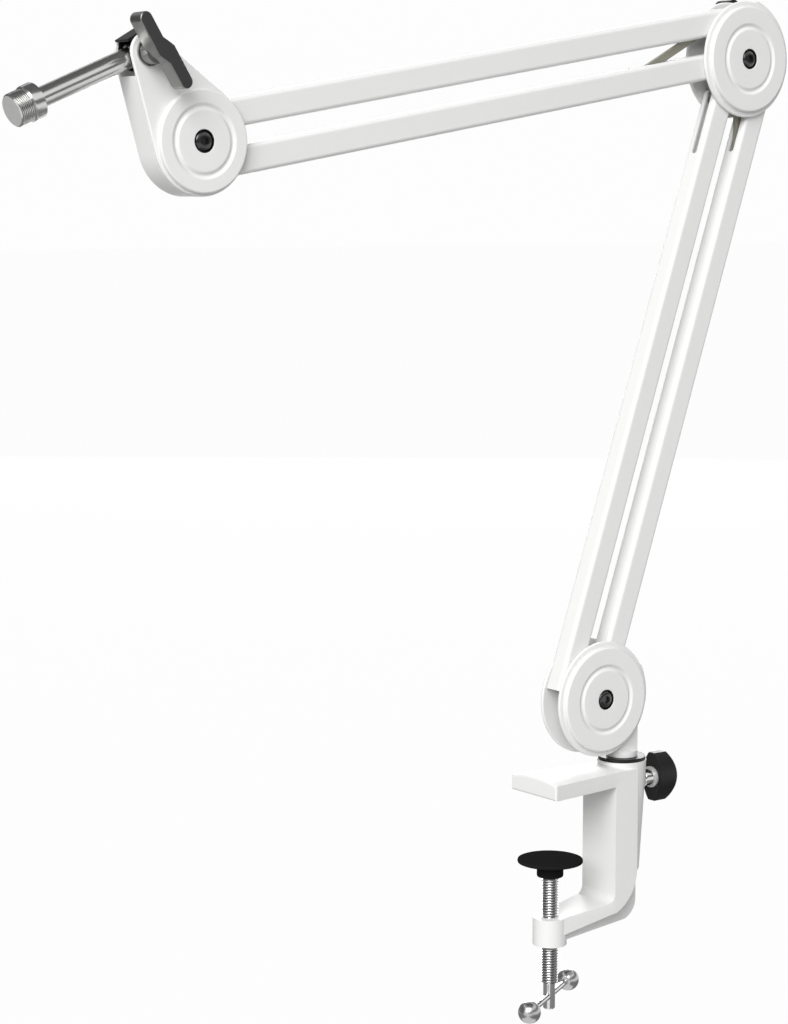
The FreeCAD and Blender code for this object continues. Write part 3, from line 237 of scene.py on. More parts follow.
# Powder coat over steel: a soft sheen with a faint orange peel, drawn coarse enough to show.
TUBE_PAINT = Finish("satin_white_powder_coat", "#E9E9E8", "#E5E5E4", 0.42)
PLATE_PAINT = Finish("satin_white_plate_paint", "#EAEAE9", "#E6E6E5", 0.40, grain_mm=1.3)
# Powder coat over a sand casting: the casting's skin shows through as a low mottle.
CAST_PAINT = Finish("white_coat_over_casting", "#E9E9E8", "#E3E3E2", 0.46, grain_mm=2.2,
                    grain_depth_mm=0.05)
# Glass-filled nylon from an etched mould: dull black with a fine spark-eroded grain.
BLACK_NYLON = Finish("black_moulded_nylon", "#090909", "#101010", 0.4, specular=0.35, grain_mm=0.7,
                     grain_strength=0.35)
# Soft rubber, pressed in a smooth mould: black and matt, with no shine even at a low angle.
PAD_RUBBER = Finish("black_moulded_rubber", "#1C1C1C", "#222222", 0.8, specular=0.0, grain_mm=0.9,
                    grain_strength=0.3)
# Die-cast zinc lever, tumbled and dark plated on its flanks, with a matt dark lacquer on its face.
LEVER_FLANK = Finish("tumbled_dark_nickel_zinc", "#9A9A99", "#8A8A89", 0.34, metallic=1.0, grain_mm=0.6,
                     grain_depth_mm=0.006)
LEVER_FACE = Finish("matt_charcoal_lacquer", "#313131", "#373737", 0.5, specular=0.3, grain_mm=0.7,
                    grain_strength=0.3)
# Bright nickel-chrome plating: a mirror that drifts a little with the polish.
CHROME = Finish("polished_chrome_plate", "#E2E2E2", "#D8D8D8", 0.1, 0.03, metallic=1.0,
                grain_depth_mm=0.002)
# The same plating on tumbled balls: it mirrors the room with soft edges.
BALL_CHROME = Finish("tumbled_chrome_plate", "#C6C6C6", "#BCBCBC", 0.25, 0.03, metallic=1.0,
                     grain_depth_mm=0.002)
# Nickel over a brushed shank: the same metal with a softer sheen.
SATIN_NICKEL = Finish("satin_nickel_plate", "#DADAD8", "#CECECC", 0.2, 0.03, metallic=1.0, grain_mm=0.6,
                      grain_depth_mm=0.003)
# The face of a turned end, plated but not polished: a fine grain that scatters the light.
TURNED_FACE = Finish("turned_end_face", "#CFCFCE", "#C4C4C3", 0.45, metallic=0.4, grain_mm=0.4,
                     grain_depth_mm=0.004)
# Painted shade at the bottom of a cut thread: the plate is coloured dull and dark there to stand in for the
# shade in the grooves.
THREAD_ROOT_SHADE = Finish("painted_shade_thread_root", "#5C5C5B", "#666665", 0.4, metallic=0.7, grain_mm=0.4,
                     grain_depth_mm=0.004)
# Turned steel with a dull nickel plate.
NICKEL = Finish("turned_nickel_plate", "#BDBDBB", "#ACACAA", 0.3, metallic=1.0, grain_mm=0.4,
                grain_depth_mm=0.004)
# Rolled spring-steel strip, oiled: olive grey and dull.
STRIP = Finish("oiled_steel_strip", "#A9A798", "#98968A", 0.42, metallic=0.5, grain_depth_mm=0.006)
# Music wire, oil tempered: a blue-grey sheen.
SPRING_WIRE = Finish("tempered_music_wire", "#8B8C8E", "#77787B", 0.32, metallic=1.0, grain_mm=0.4,
                     grain_depth_mm=0.004)
# Blackened and oiled screws: deep black with a wet gloss.
BLACK_OXIDE = Finish("oiled_black_oxide", "#1A1A1A", "#202020", 0.24, 0.04, metallic=0.3, coat=0.8,
                     grain_mm=0.5, grain_depth_mm=0.004)

SLOT_FINISH: dict[str, Finish] = {
    "cast_white": CAST_PAINT, "white_tube": TUBE_PAINT, "white_plate": PLATE_PAINT,
    "black_moulding": BLACK_NYLON, "bright_chrome": CHROME, "zinc_steel": NICKEL, "strap_steel": STRIP,
    "spring_steel": SPRING_WIRE, "dark_screw": BLACK_OXIDE,
}


# Bench work: one piece is in hand at a time

def clear_bench() -> None:
    """Leaves nothing selected."""
    bpy.ops.object.select_all(action="DESELECT")


def take(piece: bpy.types.Object) -> None:
    """Makes one piece the only selected and active one.

    Args:
        piece: Piece to work on.
    """
    clear_bench()
    piece.select_set(True)
    bpy.context.view_layer.objects.active = piece


def edit(piece: bpy.types.Object) -> None:
    """Opens a piece in edit mode with all its points selected.

    Args:
        piece: Piece to work on.
    """
    take(piece)
    bpy.ops.object.mode_set(mode="EDIT")
    bpy.ops.mesh.select_mode(type="VERT")
    bpy.ops.mesh.select_all(action="SELECT")


def put_down() -> None:
    """Goes back to object mode."""
    bpy.ops.object.mode_set(mode="OBJECT")


def close_up(piece: bpy.types.Object) -> None:
    """Merges doubled points and turns all faces outwards.

    Args:
        piece: Piece to close.
    """
    edit(piece)
    bpy.ops.mesh.remove_doubles(threshold=MERGE)
    bpy.ops.mesh.normals_make_consistent(inside=False)
    put_down()


def modify(piece: bpy.types.Object, kind: str, **settings: Any) -> None:
    """Adds a modifier with its settings and applies it.

    Args:
        piece: Piece to modify.
        kind: Blender's name of the modifier type.
        **settings: Properties of the modifier.
    """
    take(piece)
    bpy.ops.object.modifier_add(type=kind)
    modifier = piece.modifiers[-1]
    for name, value in settings.items():
        setattr(modifier, name, value)
    bpy.ops.object.modifier_apply(modifier=modifier.name)


def combine(piece: bpy.types.Object, tool: bpy.types.Object, cut: Cut) -> None:
    """Combines a piece with a second solid, which is used up.

    Args:
        piece: Piece that stays.
        tool: Solid that is added, removed or kept in common.
        cut: How they are combined.
    """
    modify(piece, "BOOLEAN", operation=cut.value, object=tool, solver="EXACT")
    take(tool)
    bpy.ops.object.delete()
    take(piece)


def start_line(name: str, points: Sequence[Point]) -> bpy.types.Object:
    """Draws an open line of radius and height in the XZ plane, point by point.

    Args:
        name: Name of the new piece.
        points: Radius and height of each point, in metres.

    Returns:
        The piece, in edit mode with its last point selected.
    """
    clear_bench()
    bpy.ops.mesh.primitive_plane_add(size=MM, location=(0, 0, 0))
    piece = bpy.context.object
    piece.name = name
    piece.data.name = name
    edit(piece)
    bpy.ops.mesh.merge(type="CENTER")
    bpy.ops.transform.translate(value=(points[0][0], 0, points[0][1]))
    for (r_from, z_from), (r_to, z_to) in zip(points, points[1:]):
        step = (r_to - r_from, 0, z_to - z_from)
        bpy.ops.mesh.extrude_vertices_move(TRANSFORM_OT_translate={"value": step})
    return piece


def turn(name: str, points: Sequence[Point], steps: int) -> bpy.types.Object:
    """Turns a profile about the Z axis, as on a lathe.

    Args:
        name: Name of the new piece.
        points: Radius and height of each point; it starts and ends on the axis, or where it began.
        steps: Facets round the axis.

    Returns:
        The closed piece, in object mode.
    """
    piece = start_line(name, points)
    bpy.ops.mesh.select_all(action="SELECT")
    bpy.ops.mesh.spin(steps=steps, angle=math.tau, center=(0, 0, 0), axis=(0, 0, 1))
    put_down()
    close_up(piece)
    return piece


def wind_thread(name: str, crest: float, depth: float, pitch: float, low: float, high: float,
                steps: int = 28) -> bpy.types.Object:
    """Winds a screw thread about the Z axis and cuts it square at both ends.

    Args:
        name: Name of the new piece.
        crest: Radius over the thread.
        depth: Height of a tooth.
        pitch: Rise in one turn.
        low: Height of the lower end.
        high: Height of the upper end.
        steps: Facets in one turn.

    Returns:
        The closed piece, in object mode.
    """
    start = low - LEAD_TURNS * pitch
    root = crest - depth
    tooth = ((root, 0.0), (root, FLANK_FROM), (crest, CREST_FROM), (crest, CREST_TO), (root, 1.0))
    piece = start_line(name, [(radius, start + share * pitch) for radius, share in tooth])
    put_down()
    turns = math.ceil((high - low) / pitch) + SPARE_TURNS
    modify(piece, "SCREW", axis="Z", angle=math.tau, screw_offset=pitch, iterations=turns, steps=steps,
           render_steps=steps)
    edit(piece)
    bpy.ops.mesh.remove_doubles(threshold=MERGE)
    bpy.ops.mesh.bisect(plane_co=(0, 0, low), plane_no=(0, 0, 1), use_fill=True, clear_inner=True)
    bpy.ops.mesh.select_all(action="SELECT")
    bpy.ops.mesh.bisect(plane_co=(0, 0, high), plane_no=(0, 0, 1), use_fill=True, clear_outer=True)
    put_down()
    close_up(piece)
    return piece


def lay(piece: bpy.types.Object, spot: Vector, along: Vector) -> None:
    """Moves a piece so that its origin lies at a spot and its Z axis points along a direction.

    Args:
        piece: Piece modelled about the origin.
        spot: Where its origin goes.
        along: Where its Z axis points.
    """
    turned = along.to_track_quat("Z", "Y").to_matrix().to_4x4()
    piece.matrix_world = Matrix.Translation(spot) @ turned
    take(piece)
    bpy.ops.object.transform_apply(location=True, rotation=True, scale=True)


@dataclass
class Workshop:
    """The loaded construction and the materials made so far."""

    frame: dict[str, Any]
    made: dict[str, bpy.types.Material] = field(default_factory=dict)

    def material(self, finish: Finish) -> bpy.types.Material:
        """Gives the material of a finish, which is made once.

        Args:
            finish: Surface wanted.

        Returns:
            Its material.
        """
        if finish.name not in self.made:
            self.made[finish.name] = finish.build()
        return self.made[finish.name]

    def joint_axis(self, joint: str) -> Vector:
        """Gives the direction of a joint's axis."""
        return Vector(next(row["axis"] for row in self.frame["joints"] if row["name"] == joint))

    def mount(self, name: str) -> dict[str, Any]:
        """Gives the row of one of the record's mounts."""
        return next(row for row in self.frame["record"]["mounts"] if row["name"] == name)

    def copy_of(self, node: str, name: str) -> bpy.types.Object:
        """Copies a node as a piece of its own, with its triangles merged and its flats made whole.

        Args:
            node: Node to copy.
            name: Name of the copy.

        Returns:
            The copy, in object mode.
        """
        take(self.frame["nodes"][node])
        bpy.ops.object.duplicate(linked=False)
        piece = bpy.context.object
        piece.name = name
        piece.data.name = name
        piece.parent = None
        for tag in list(piece.keys()):
            del piece[tag]
        piece.data.materials.clear()
        edit(piece)
        bpy.ops.mesh.remove_doubles(threshold=MERGE)
        bpy.ops.mesh.customdata_custom_splitnormals_clear()
        bpy.ops.mesh.select_all(action="SELECT")
        bpy.ops.mesh.dissolve_limited(angle_limit=math.radians(FLAT_DEG))
        put_down()
        return piece

    def eased_copy(self, node: str, name: str, width_mm: float, steps: int = 2) -> bpy.types.Object:
        """Copies a node and breaks its hard edges.

        Args:
            node: Node to copy.
            name: Name of the copy.
            width_mm: Width of the broken edge.
            steps: Facets across it.

        Returns:
            The copy, in object mode.
        """
        piece = self.copy_of(node, name)
        modify(piece, "BEVEL", width=width_mm * MM, segments=steps, limit_method="ANGLE",
               angle_limit=math.radians(HARD_EDGE_DEG), use_clamp_overlap=True, miter_outer="MITER_ARC")
        return piece

    def fit(self, piece: bpy.types.Object, finishes: Sequence[Finish], *stands_for: str,
            rides_with: Optional[str] = None, smooth_deg: float = 34.0) -> None:
        """Dresses a finished piece and fixes it to its body.

        Args:
            piece: Piece in its place.
            finishes: Its surfaces, in the order of its material numbers.
            *stands_for: Nodes that it replaces.
            rides_with: Node whose body it takes where it replaces none.
            smooth_deg: Edges flatter than this are shaded round.
        """
        node = rides_with or stands_for[0]
        for finish in finishes:
            piece.data.materials.append(self.material(finish))
        take(piece)
        bpy.ops.object.shade_smooth_by_angle(angle=math.radians(smooth_deg))
        modify(piece, "WEIGHTED_NORMAL", keep_sharp=True)
        clear_bench()
        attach(piece, self.frame["nodes"][node]["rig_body"])
        if stands_for:
            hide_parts(*stands_for)


def paint(piece: bpy.types.Object, number: int, test: Test) -> None:
    """Gives the faces that a test picks another of the piece's materials.

    Args:
        piece: Piece that carries the materials.
        number: Number of the material.
        test: Takes the place and the normal of a face.
    """
    picked = [face for face in piece.data.polygons if test(face.center, face.normal)]
    for face in picked:
        face.material_index = number
    log.info("painted %d faces of %s as %s", len(picked), piece.name, piece.data.materials[number].name)


def paint_root_shade(piece: bpy.types.Object, number: int, spot: Vector, along: Vector,
                radius: float) -> None:
    """Gives the bottom of a thread another of the piece's materials, a dark one that paints the shade in the
    grooves.

    Args:
        piece: Threaded piece.
        number: Number of the material.
        spot: A point on the thread's axis.
        along: Direction of that axis.
        radius: Radius of the thread's bottom.
    """
    def at_root(at: Vector, way: Vector) -> bool:
        """Tells whether a face lies at the thread's bottom and looks away from the axis."""
        arm = (at - spot) - (at - spot).dot(along) * along
        return abs(arm.length - radius) < ROOT_BAND and abs(way.dot(along)) < ROOT_TILT

    paint(piece, number, at_root)


@dataclass(frozen=True)
class Rounding:
    """Corner of a turned profile, rounded with three points.

    It starts and ends one run away from the corner, and its middle point stands off both sides alike.
    """

    run_mm: float
    middle_mm: float

    def points(self, corner: Point, enter: Way, leave: Way) -> list[Point]:
        """Gives the points that replace a corner.

        Args:
            corner: Radius and height of the sharp corner.
            enter: Way from the corner back along the side that comes in.
            leave: Way from the corner along the side that goes out.

        Returns:
            Radius and height of each point.
        """
        (r_in, z_in), (r_out, z_out) = enter.value, leave.value
        run, middle = self.run_mm * MM, self.middle_mm * MM
        steps = ((run * r_in, run * z_in), (middle * (r_in + r_out), middle * (z_in + z_out)),
                 (run * r_out, run * z_out))
        return [(corner[0] + r_step, corner[1] + z_step) for r_step, z_step in steps]


def quarter(steps: int) -> list[float]:
    """Gives the angles of a quarter turn in equal steps, in radians."""
    return [math.radians(90 * i / steps) for i in range(steps + 1)]


@dataclass
class Assembly(ABC):
    """Pieces of the arm that are modelled together and then dressed."""

    shop: Workshop
    pieces: dict[str, bpy.types.Object] = field(default_factory=dict, init=False)

    @abstractmethod
    def build(self) -> None:
        """Models the pieces in their places."""

    @abstractmethod
    def dress(self) -> None:
        """Gives the pieces their finishes and fixes them to their bodies."""


@dataclass
class DeskClamp(Assembly):
    """Cast C-frame with its bush, screw, pad and sliding bar."""

    edge_mm: float = 0.7
    bush_edge_mm: float = 0.5
    pitch_mm: float = 1.5
    tooth_mm: float = 0.8
    thread_end_mm: float = -107.0
    thread_top_mm: float = -47.25
    core_mm: float = 3.3
    neck_mm: float = 3.0
    neck_run_mm: float = 58.0
    neck_gap_mm: float = 0.06
    end_chamfer_mm: float = 0.7
    bar_hole_mm: float = 1.85
    bar_height_mm: float = -114.9
    ball_mm: float = 6.2
    ball_reach_mm: float = 31.4
    ball_flat_mm: float = 5.4
    ball_arcs: int = 48
    pad_thick_mm: float = 2.0
    pad_rim_mm: float = 2.6
    pad_edge: Rounding = Rounding(0.7, 0.2)
    dish_mm: float = 0.45
    dish_run_mm: float = 0.5
    dish_bend_mm: float = 0.15
    dish_drop_mm: float = 0.1
    hub_mm: float = 7.35
    hub_edge: Rounding = Rounding(0.9, 0.25)
    hub_fillet: Rounding = Rounding(1.2, 0.35)
    hub_socket_mm: float = 3.05
    hub_socket_top_mm: float = -41.2
    socket_chamfer_mm: float = 0.4

    def build(self) -> None:
        """Models the clamp's pieces."""
        self.pieces = {
            "clamp_frame": self.shop.eased_copy("clamp_frame", "clamp_casting", self.edge_mm, steps=3),
            "socket_bush": self.shop.eased_copy("socket_bush", "clamp_bush", self.bush_edge_mm, steps=3),
            "clamp_screw": self.screw(),
            "pressure_pad": self.pad(),
            "tommy_balls": self.balls(),
            "tommy_bar": self.shop.copy_of("tommy_bar", "sliding_bar"),
        }

    def dress(self) -> None:
        """Paints the casting and plates the screw, with painted shade at the bottom of its thread."""
        fit, pieces = self.shop.fit, self.pieces
        fit(pieces["clamp_frame"], [CAST_PAINT], "clamp_frame", smooth_deg=30.0)
        fit(pieces["socket_bush"], [BLACK_NYLON], "socket_bush")
        screw = pieces["clamp_screw"]
        # The bottom of the screw's thread gets a dark finish as painted shade.
        fit(screw, [CHROME, THREAD_ROOT_SHADE], "clamp_screw", smooth_deg=25.0)
        low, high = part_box("clamp_screw")
        root = (high.x - low.x) / 2 - self.tooth_mm * MM
        paint_root_shade(screw, 1, Vector((0, 0, 0)), Vector((0, 0, 1)), root)
        fit(pieces["pressure_pad"], [PAD_RUBBER], "pressure_pad")
        fit(pieces["tommy_balls"], [BALL_CHROME], "tommy_balls", smooth_deg=50.0)
        fit(pieces["tommy_bar"], [CHROME], "tommy_bar", smooth_deg=50.0)

    def screw(self) -> bpy.types.Object:
        """Winds the clamp screw, turns its plain end and drills it for the bar.

        Returns:
            The screw.
        """
        low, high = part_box("clamp_screw")
        crest = (high.x - low.x) / 2
        piece = wind_thread("clamp_screw_thread", crest, self.tooth_mm * MM, self.pitch_mm * MM,
                            self.thread_end_mm * MM, self.thread_top_mm * MM)
        core, neck, chamfer = self.core_mm * MM, self.neck_mm * MM, self.end_chamfer_mm * MM
        step, top = high.z - self.neck_run_mm * MM, high.z - self.neck_gap_mm * MM
        rod = turn("screw_core", [(0, low.z), (core - chamfer, low.z), (core, low.z + chamfer), (core, step),
                                  (neck, step), (neck, top), (0, top)], steps=48)
        combine(piece, rod, Cut.ADD)
        hole, reach = self.bar_hole_mm * MM, 2 * crest
        drill = turn("bar_drill", [(0, -reach), (hole, -reach), (hole, reach), (0, reach)], steps=32)
        self.lay_on_bar(drill)
        combine(piece, drill, Cut.REMOVE)
        return piece

    def lay_on_bar(self, piece: bpy.types.Object) -> None:
        """Lays a piece on the sliding bar's axis, across the screw."""
        lay(piece, Vector((0, 0, self.bar_height_mm * MM)), self.shop.joint_axis("tommy_slide"))

    def pad(self) -> bpy.types.Object:
        """Turns the pressure pad with its shallow dish and its hub.

        Returns:
            The pad.
        """
        low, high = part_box("pressure_pad")
        rim, top, foot = (high.x - low.x) / 2, high.z, low.z
        hub, socket, roof = self.hub_mm * MM, self.hub_socket_mm * MM, self.hub_socket_top_mm * MM
        under, chamfer = top - self.pad_thick_mm * MM, self.socket_chamfer_mm * MM
        bed, wall = top - self.dish_mm * MM, rim - self.pad_rim_mm * MM
        run, bend, drop = self.dish_run_mm * MM, self.dish_bend_mm * MM, self.dish_drop_mm * MM
        return turn("jaw_pad", [
            (0, roof), (socket, roof), (socket, foot + chamfer), (socket + chamfer, foot),
            *self.hub_edge.points((hub, foot), Way.IN, Way.UP),
            *self.hub_fillet.points((hub, under), Way.DOWN, Way.OUT),
            *self.pad_edge.points((rim, under), Way.IN, Way.UP),
            *self.pad_edge.points((rim, top), Way.DOWN, Way.IN),
            (wall + run, top), (wall + bend, top - drop), (wall - bend, bed + drop), (wall - run, bed),
            (0, bed),
        ], steps=96)

    def balls(self) -> bpy.types.Object:
        """Turns one ball end with its flat and mirrors it to the bar's other end.

        Returns:
            Both balls.
        """
        radius, reach, flat = self.ball_mm * MM, self.ball_reach_mm * MM, self.ball_flat_mm * MM
        last = math.acos(-flat / radius)
        angles = [last * i / self.ball_arcs for i in range(self.ball_arcs + 1)]
        arc = [(radius * math.sin(angle), reach + radius * math.cos(angle)) for angle in angles]
        piece = turn("bar_balls", [(0, arc[0][1]), *arc[1:], (0, reach - flat)], steps=96)
        modify(piece, "MIRROR", use_axis=(False, False, True), use_clip=False)
        close_up(piece)
        self.lay_on_bar(piece)
        return piece


@dataclass
class SwivelLock(Assembly):
    """Wing knob with its plated screw that locks the swivel."""

    wing_edge_mm: float = 0.5
    screw_edge_mm: float = 0.35
    rim_run_mm: float = 1.6
    rim_slack_mm: float = 0.1

    def build(self) -> None:
        """Models the knob's wing and its screw."""
        self.pieces = {
            "lock_wing": self.shop.eased_copy("lock_wing", "lock_wing_moulding", self.wing_edge_mm),
            "lock_screw": self.shop.eased_copy("lock_screw", "lock_ferrule", self.screw_edge_mm),
        }

    def dress(self) -> None:
        """Dresses the wing, and the screw with a dull rim beside the wing."""
        self.shop.fit(self.pieces["lock_wing"], [BLACK_NYLON], "lock_wing")
        screw = self.pieces["lock_screw"]
        self.shop.fit(screw, [CHROME, TURNED_FACE], "lock_screw")
        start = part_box("lock_wing")[0].x
        first, last = start - self.rim_run_mm * MM, start + self.rim_slack_mm * MM
        paint(screw, 1, lambda at, way: first < at.x < last)


@dataclass
class TensionLever(Assembly):
    """Two-armed tension lever with a face of its own finish."""

    node: str
    faces: Side
    flank: Finish = LEVER_FLANK
    face: Finish = LEVER_FACE
    face_run_mm: float = 0.9
    face_tilt: float = 0.72

    def build(self) -> None:
        """Models the lever."""
        self.pieces[self.node] = self.shop.copy_of(self.node, self.node + "_casting")

    def dress(self) -> None:
        """Dresses the lever's flanks and its face."""
        piece = self.pieces[self.node]
        self.shop.fit(piece, [self.flank, self.face], self.node)
        low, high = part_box(self.node)
        front = low.y if self.faces is Side.FRONT else high.y
        paint(piece, 1, lambda at, way: abs(at.y - front) < self.face_run_mm * MM
              and way.y * self.faces > self.face_tilt)


@dataclass
class MicrophoneStud(Assembly):
    """Plated stud with its collar and microphone thread, and the friction clip that holds it.

    Lengths along the stud are measured from its pivot.
    """

    pitch_mm: float = 25.4 / 27
    tooth_mm: float = 0.52
    thread_mid_mm: float = 69.2
    collar_from_mm: float = 59.6
    collar_to_mm: float = 65.6
    thread_to_mm: float = 73.5
    thread_lead_mm: float = 1.0
    thread_edge_mm: float = 0.7
    end_band_mm: float = 0.05
    collar_mm: float = 8.7
    collar_edge: Rounding = Rounding(0.6, 0.18)
    overlap_mm: float = 2.0
    core_inset_mm: float = 0.4
    rod_edge_mm: float = 0.8
    clip_edge_mm: float = 0.35

    def build(self) -> None:
        """Models the stud's pieces."""
        self.pieces = {
            "thread_tip": self.tip(),
            "stud_rod": self.shop.eased_copy("stud_rod", "stud_shank", self.rod_edge_mm, steps=3),
            "friction_clip": self.shop.eased_copy("friction_clip", "stud_clip", self.clip_edge_mm),
        }

    def dress(self) -> None:
        """Plates the stud, with a dull end face and painted shade at the bottom of its thread."""
        tip = self.pieces["thread_tip"]
        # The bottom of the stud's thread gets a dark finish as painted shade.
        self.shop.fit(tip, [SATIN_NICKEL, TURNED_FACE, THREAD_ROOT_SHADE], "thread_tip", smooth_deg=25.0)
        middle, along, crest = self.thread()
        paint_root_shade(tip, 2, middle, along, crest - self.tooth_mm * MM)
        end = (self.thread_to_mm - self.thread_mid_mm - self.end_band_mm) * MM
        paint(tip, 1, lambda at, way: (at - middle).dot(along) > end and way.dot(along) > END_ON)
        self.shop.fit(self.pieces["stud_rod"], [SATIN_NICKEL], "stud_rod")
        self.shop.fit(self.pieces["friction_clip"], [BLACK_NYLON], "friction_clip")

    def thread(self) -> tuple[Vector, Vector, float]:
        """Gives the middle, the axis and the outer radius of the microphone thread."""
        row = self.shop.mount("mic_thread")
        return Vector(row["pos_m"]), Vector(row["axis"]), row["dims"]["r_mm"] * MM

    def tip(self) -> bpy.types.Object:
        """Turns the collar and winds the microphone thread on its end.

        Returns:
            The stud's tip.
        """
        middle, along, crest = self.thread()
        low, top, base = self.collar_to_mm * MM, self.thread_to_mm * MM, self.collar_from_mm * MM
        tooth, pitch, chamfer = self.tooth_mm * MM, self.pitch_mm * MM, self.thread_edge_mm * MM
        lap, collar = self.overlap_mm * MM, self.collar_mm * MM
        core = crest - tooth - self.core_inset_mm * MM
        thread = wind_thread("mic_thread_tip", crest, tooth, pitch, low - self.thread_lead_mm * MM, top + pitch,
                             steps=40)
        shape = turn("thread_envelope", [
            (0, low - lap), (2 * crest, low - lap), (2 * crest, top - chamfer - crest),
            (crest - chamfer, top), (0, top),
        ], steps=80)
        combine(thread, shape, Cut.KEEP_COMMON)
        ring = turn("stud_collar", [
            (0, base), *self.collar_edge.points((collar, base), Way.IN, Way.UP),
            *self.collar_edge.points((collar, low), Way.DOWN, Way.IN),
            (core, low), (core, low + lap), (0, low + lap),
        ], steps=80)
        combine(thread, ring, Cut.ADD)
        lay(thread, middle - self.thread_mid_mm * MM * along, along)
        return thread


@dataclass
class PivotPins(Assembly):
    """Pivot pins of one joint, whose ends were painted over with the plates."""

    node: str

    def build(self) -> None:
        """Models the pins."""
        self.pieces[self.node] = self.shop.copy_of(self.node, self.node + "_turned")

    def dress(self) -> None:
        """Plates the pins and paints their ends."""
        piece = self.pieces[self.node]
        self.shop.fit(piece, [NICKEL, PLATE_PAINT], self.node)
        paint(piece, 1, lambda at, way: abs(way.y) > END_ON)


@dataclass
class RoundCover(Assembly):
    """Pressed round cover with a soft ring groove and a recess for its screw."""

    node: str
    faces: Side
    groove_mm: float
    half_width_mm: float = 2.1
    depth_mm: float = 1.0
    groove_steps: int = 20
    edge_mm: float = 1.0
    edge_steps: int = 6
    sink_mm: float = 5.5
    sink_edge: Rounding = Rounding(0.6, 0.18)
    lip_mm: float = 0.6
    hole_mm: float = 2.2

    def build(self) -> None:
        """Turns the cover."""
        low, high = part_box(self.node)
        middle = (low + high) / 2
        radius, thick = (high.x - low.x) / 2, high.y - low.y
        edge, groove, half = self.edge_mm * MM, self.groove_mm * MM, self.half_width_mm * MM
        hole, lip, sink, depth = self.hole_mm * MM, self.lip_mm * MM, self.sink_mm * MM, self.depth_mm * MM
        rim = [(radius - edge + edge * math.cos(bend), thick - edge + edge * math.sin(bend))
               for bend in quarter(self.edge_steps)]
        shares = [1 - 2 * i / self.groove_steps for i in range(self.groove_steps + 1)]
        valley = [(groove + half * share, thick - depth * (1 + math.cos(math.pi * share)) / 2)
                  for share in shares]
        piece = turn(self.node + "_pressing", [
            (hole, 0), (radius, 0), *rim, *valley, *self.sink_edge.points((sink, thick), Way.OUT, Way.DOWN),
            (sink, lip), (hole, lip), (hole, 0),
        ], steps=96)
        back = high.y if self.faces is Side.FRONT else low.y
        lay(piece, Vector((middle.x, back, middle.z)), Vector((0, self.faces, 0)))
        self.pieces[self.node] = piece

    def dress(self) -> None:
        """Paints the cover."""
        self.shop.fit(self.pieces[self.node], [PLATE_PAINT], self.node)


@dataclass
class CoverScrews(Assembly):
    """Socket-head screws in the hollows of the round covers, each hollow lined in black as painted shade."""

    node: str
    cover: str
    sides: tuple[Side, ...] = (Side.FRONT, Side.REAR)
    head_mm: float = 4.8
    head_height_mm: float = 2.1
    dome_mm: float = 1.5
    dome_steps: int = 10
    hex_mm: float = 2.3
    hex_depth_mm: float = 1.4
    flat_share: float = 0.8
    # Black lining of each screw hollow, painted shade.
    lining_mm: float = 5.45
    lining_inner_mm: float = 4.9
    lining_slope_mm: float = 0.2
    lining_sink_mm: float = 0.3
    lining_depth_mm: float = 1.6

    def build(self) -> None:
        """Models a screw and a black lining of painted shade for each cover."""
        low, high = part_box(self.node)
        middle = (low + high) / 2
        lining_top = abs(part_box(self.cover)[0].y) - self.lining_sink_mm * MM
        screws = [self.screw() for _ in self.sides]
        shade_linings = [self.shade_lining() for _ in self.sides]
        for side, screw, shade_lining in zip(self.sides, screws, shade_linings):
            lay(screw, Vector((middle.x, side * abs(low.y), middle.z)), Vector((0, side, 0)))
            lay(shade_lining, Vector((middle.x, side * lining_top, middle.z)), Vector((0, side, 0)))
        self.pieces = {"screws": self.joined(screws, self.node + "_socket_heads"),
                       "shade_linings": self.joined(shade_linings, self.node + "_shade_linings")}

    def dress(self) -> None:
        """Blackens the screws and dresses the black linings, painted shade in the hollows, which ride with
        them.
        """
        self.shop.fit(self.pieces["screws"], [BLACK_OXIDE], self.node)
        # The black linings paint the shade in the screw hollows.
        self.shop.fit(self.pieces["shade_linings"], [BLACK_NYLON], rides_with=self.node)

    def joined(self, copies: Sequence[bpy.types.Object], name: str) -> bpy.types.Object:
        """Joins copies to one piece.

        Args:
            copies: Copies in their places.
            name: Name of the joined piece.

        Returns:
            The joined piece.
        """
        take(copies[0])
        for copy in copies[1:]:
            copy.select_set(True)
        if len(copies) > 1:
            bpy.ops.object.join()
        copies[0].name = name
        copies[0].data.name = name
        return copies[0]

    def screw(self) -> bpy.types.Object:
        """Turns a screw head with its top at the origin and sinks the hexagon.

        Returns:
            The screw head.
        """
        head, dome, foot = self.head_mm * MM, self.dome_mm * MM, -self.head_height_mm * MM
        flat = self.flat_share * self.hex_mm * MM
        rim = [(flat + (head - flat) * math.cos(bend), -dome + dome * math.sin(bend))
               for bend in quarter(self.dome_steps)]
        piece = turn("socket_head", [(0, foot), (head, foot), *rim, (0, 0)], steps=48)
        clear_bench()
        bpy.ops.mesh.primitive_cylinder_add(vertices=6, radius=self.hex_mm * MM,
                                            depth=2 * self.hex_depth_mm * MM, location=(0, 0, 0))
        combine(piece, bpy.context.object, Cut.REMOVE)
        return piece

    def shade_lining(self) -> bpy.types.Object:
        """Turns a black ring that lines a screw hollow as painted shade, with its lip at the origin.

        Returns:
            The lining.
        """
        outer, inner, deep = self.lining_mm * MM, self.lining_inner_mm * MM, -self.lining_depth_mm * MM
        slope = self.lining_slope_mm * MM
        return turn("painted_shade_lining", [(inner, deep), (outer, deep), (outer, 0), (outer - slope, 0),
                                   (inner, deep + slope), (inner, deep)], steps=48)


@dataclass(frozen=True)
class SoftBox:
    """Square soft light that looks at the middle of the arm, from which its way and distance are taken."""

    name: str
    way: tuple[float, float, float]
    distance: float
    size: float
    watts: float


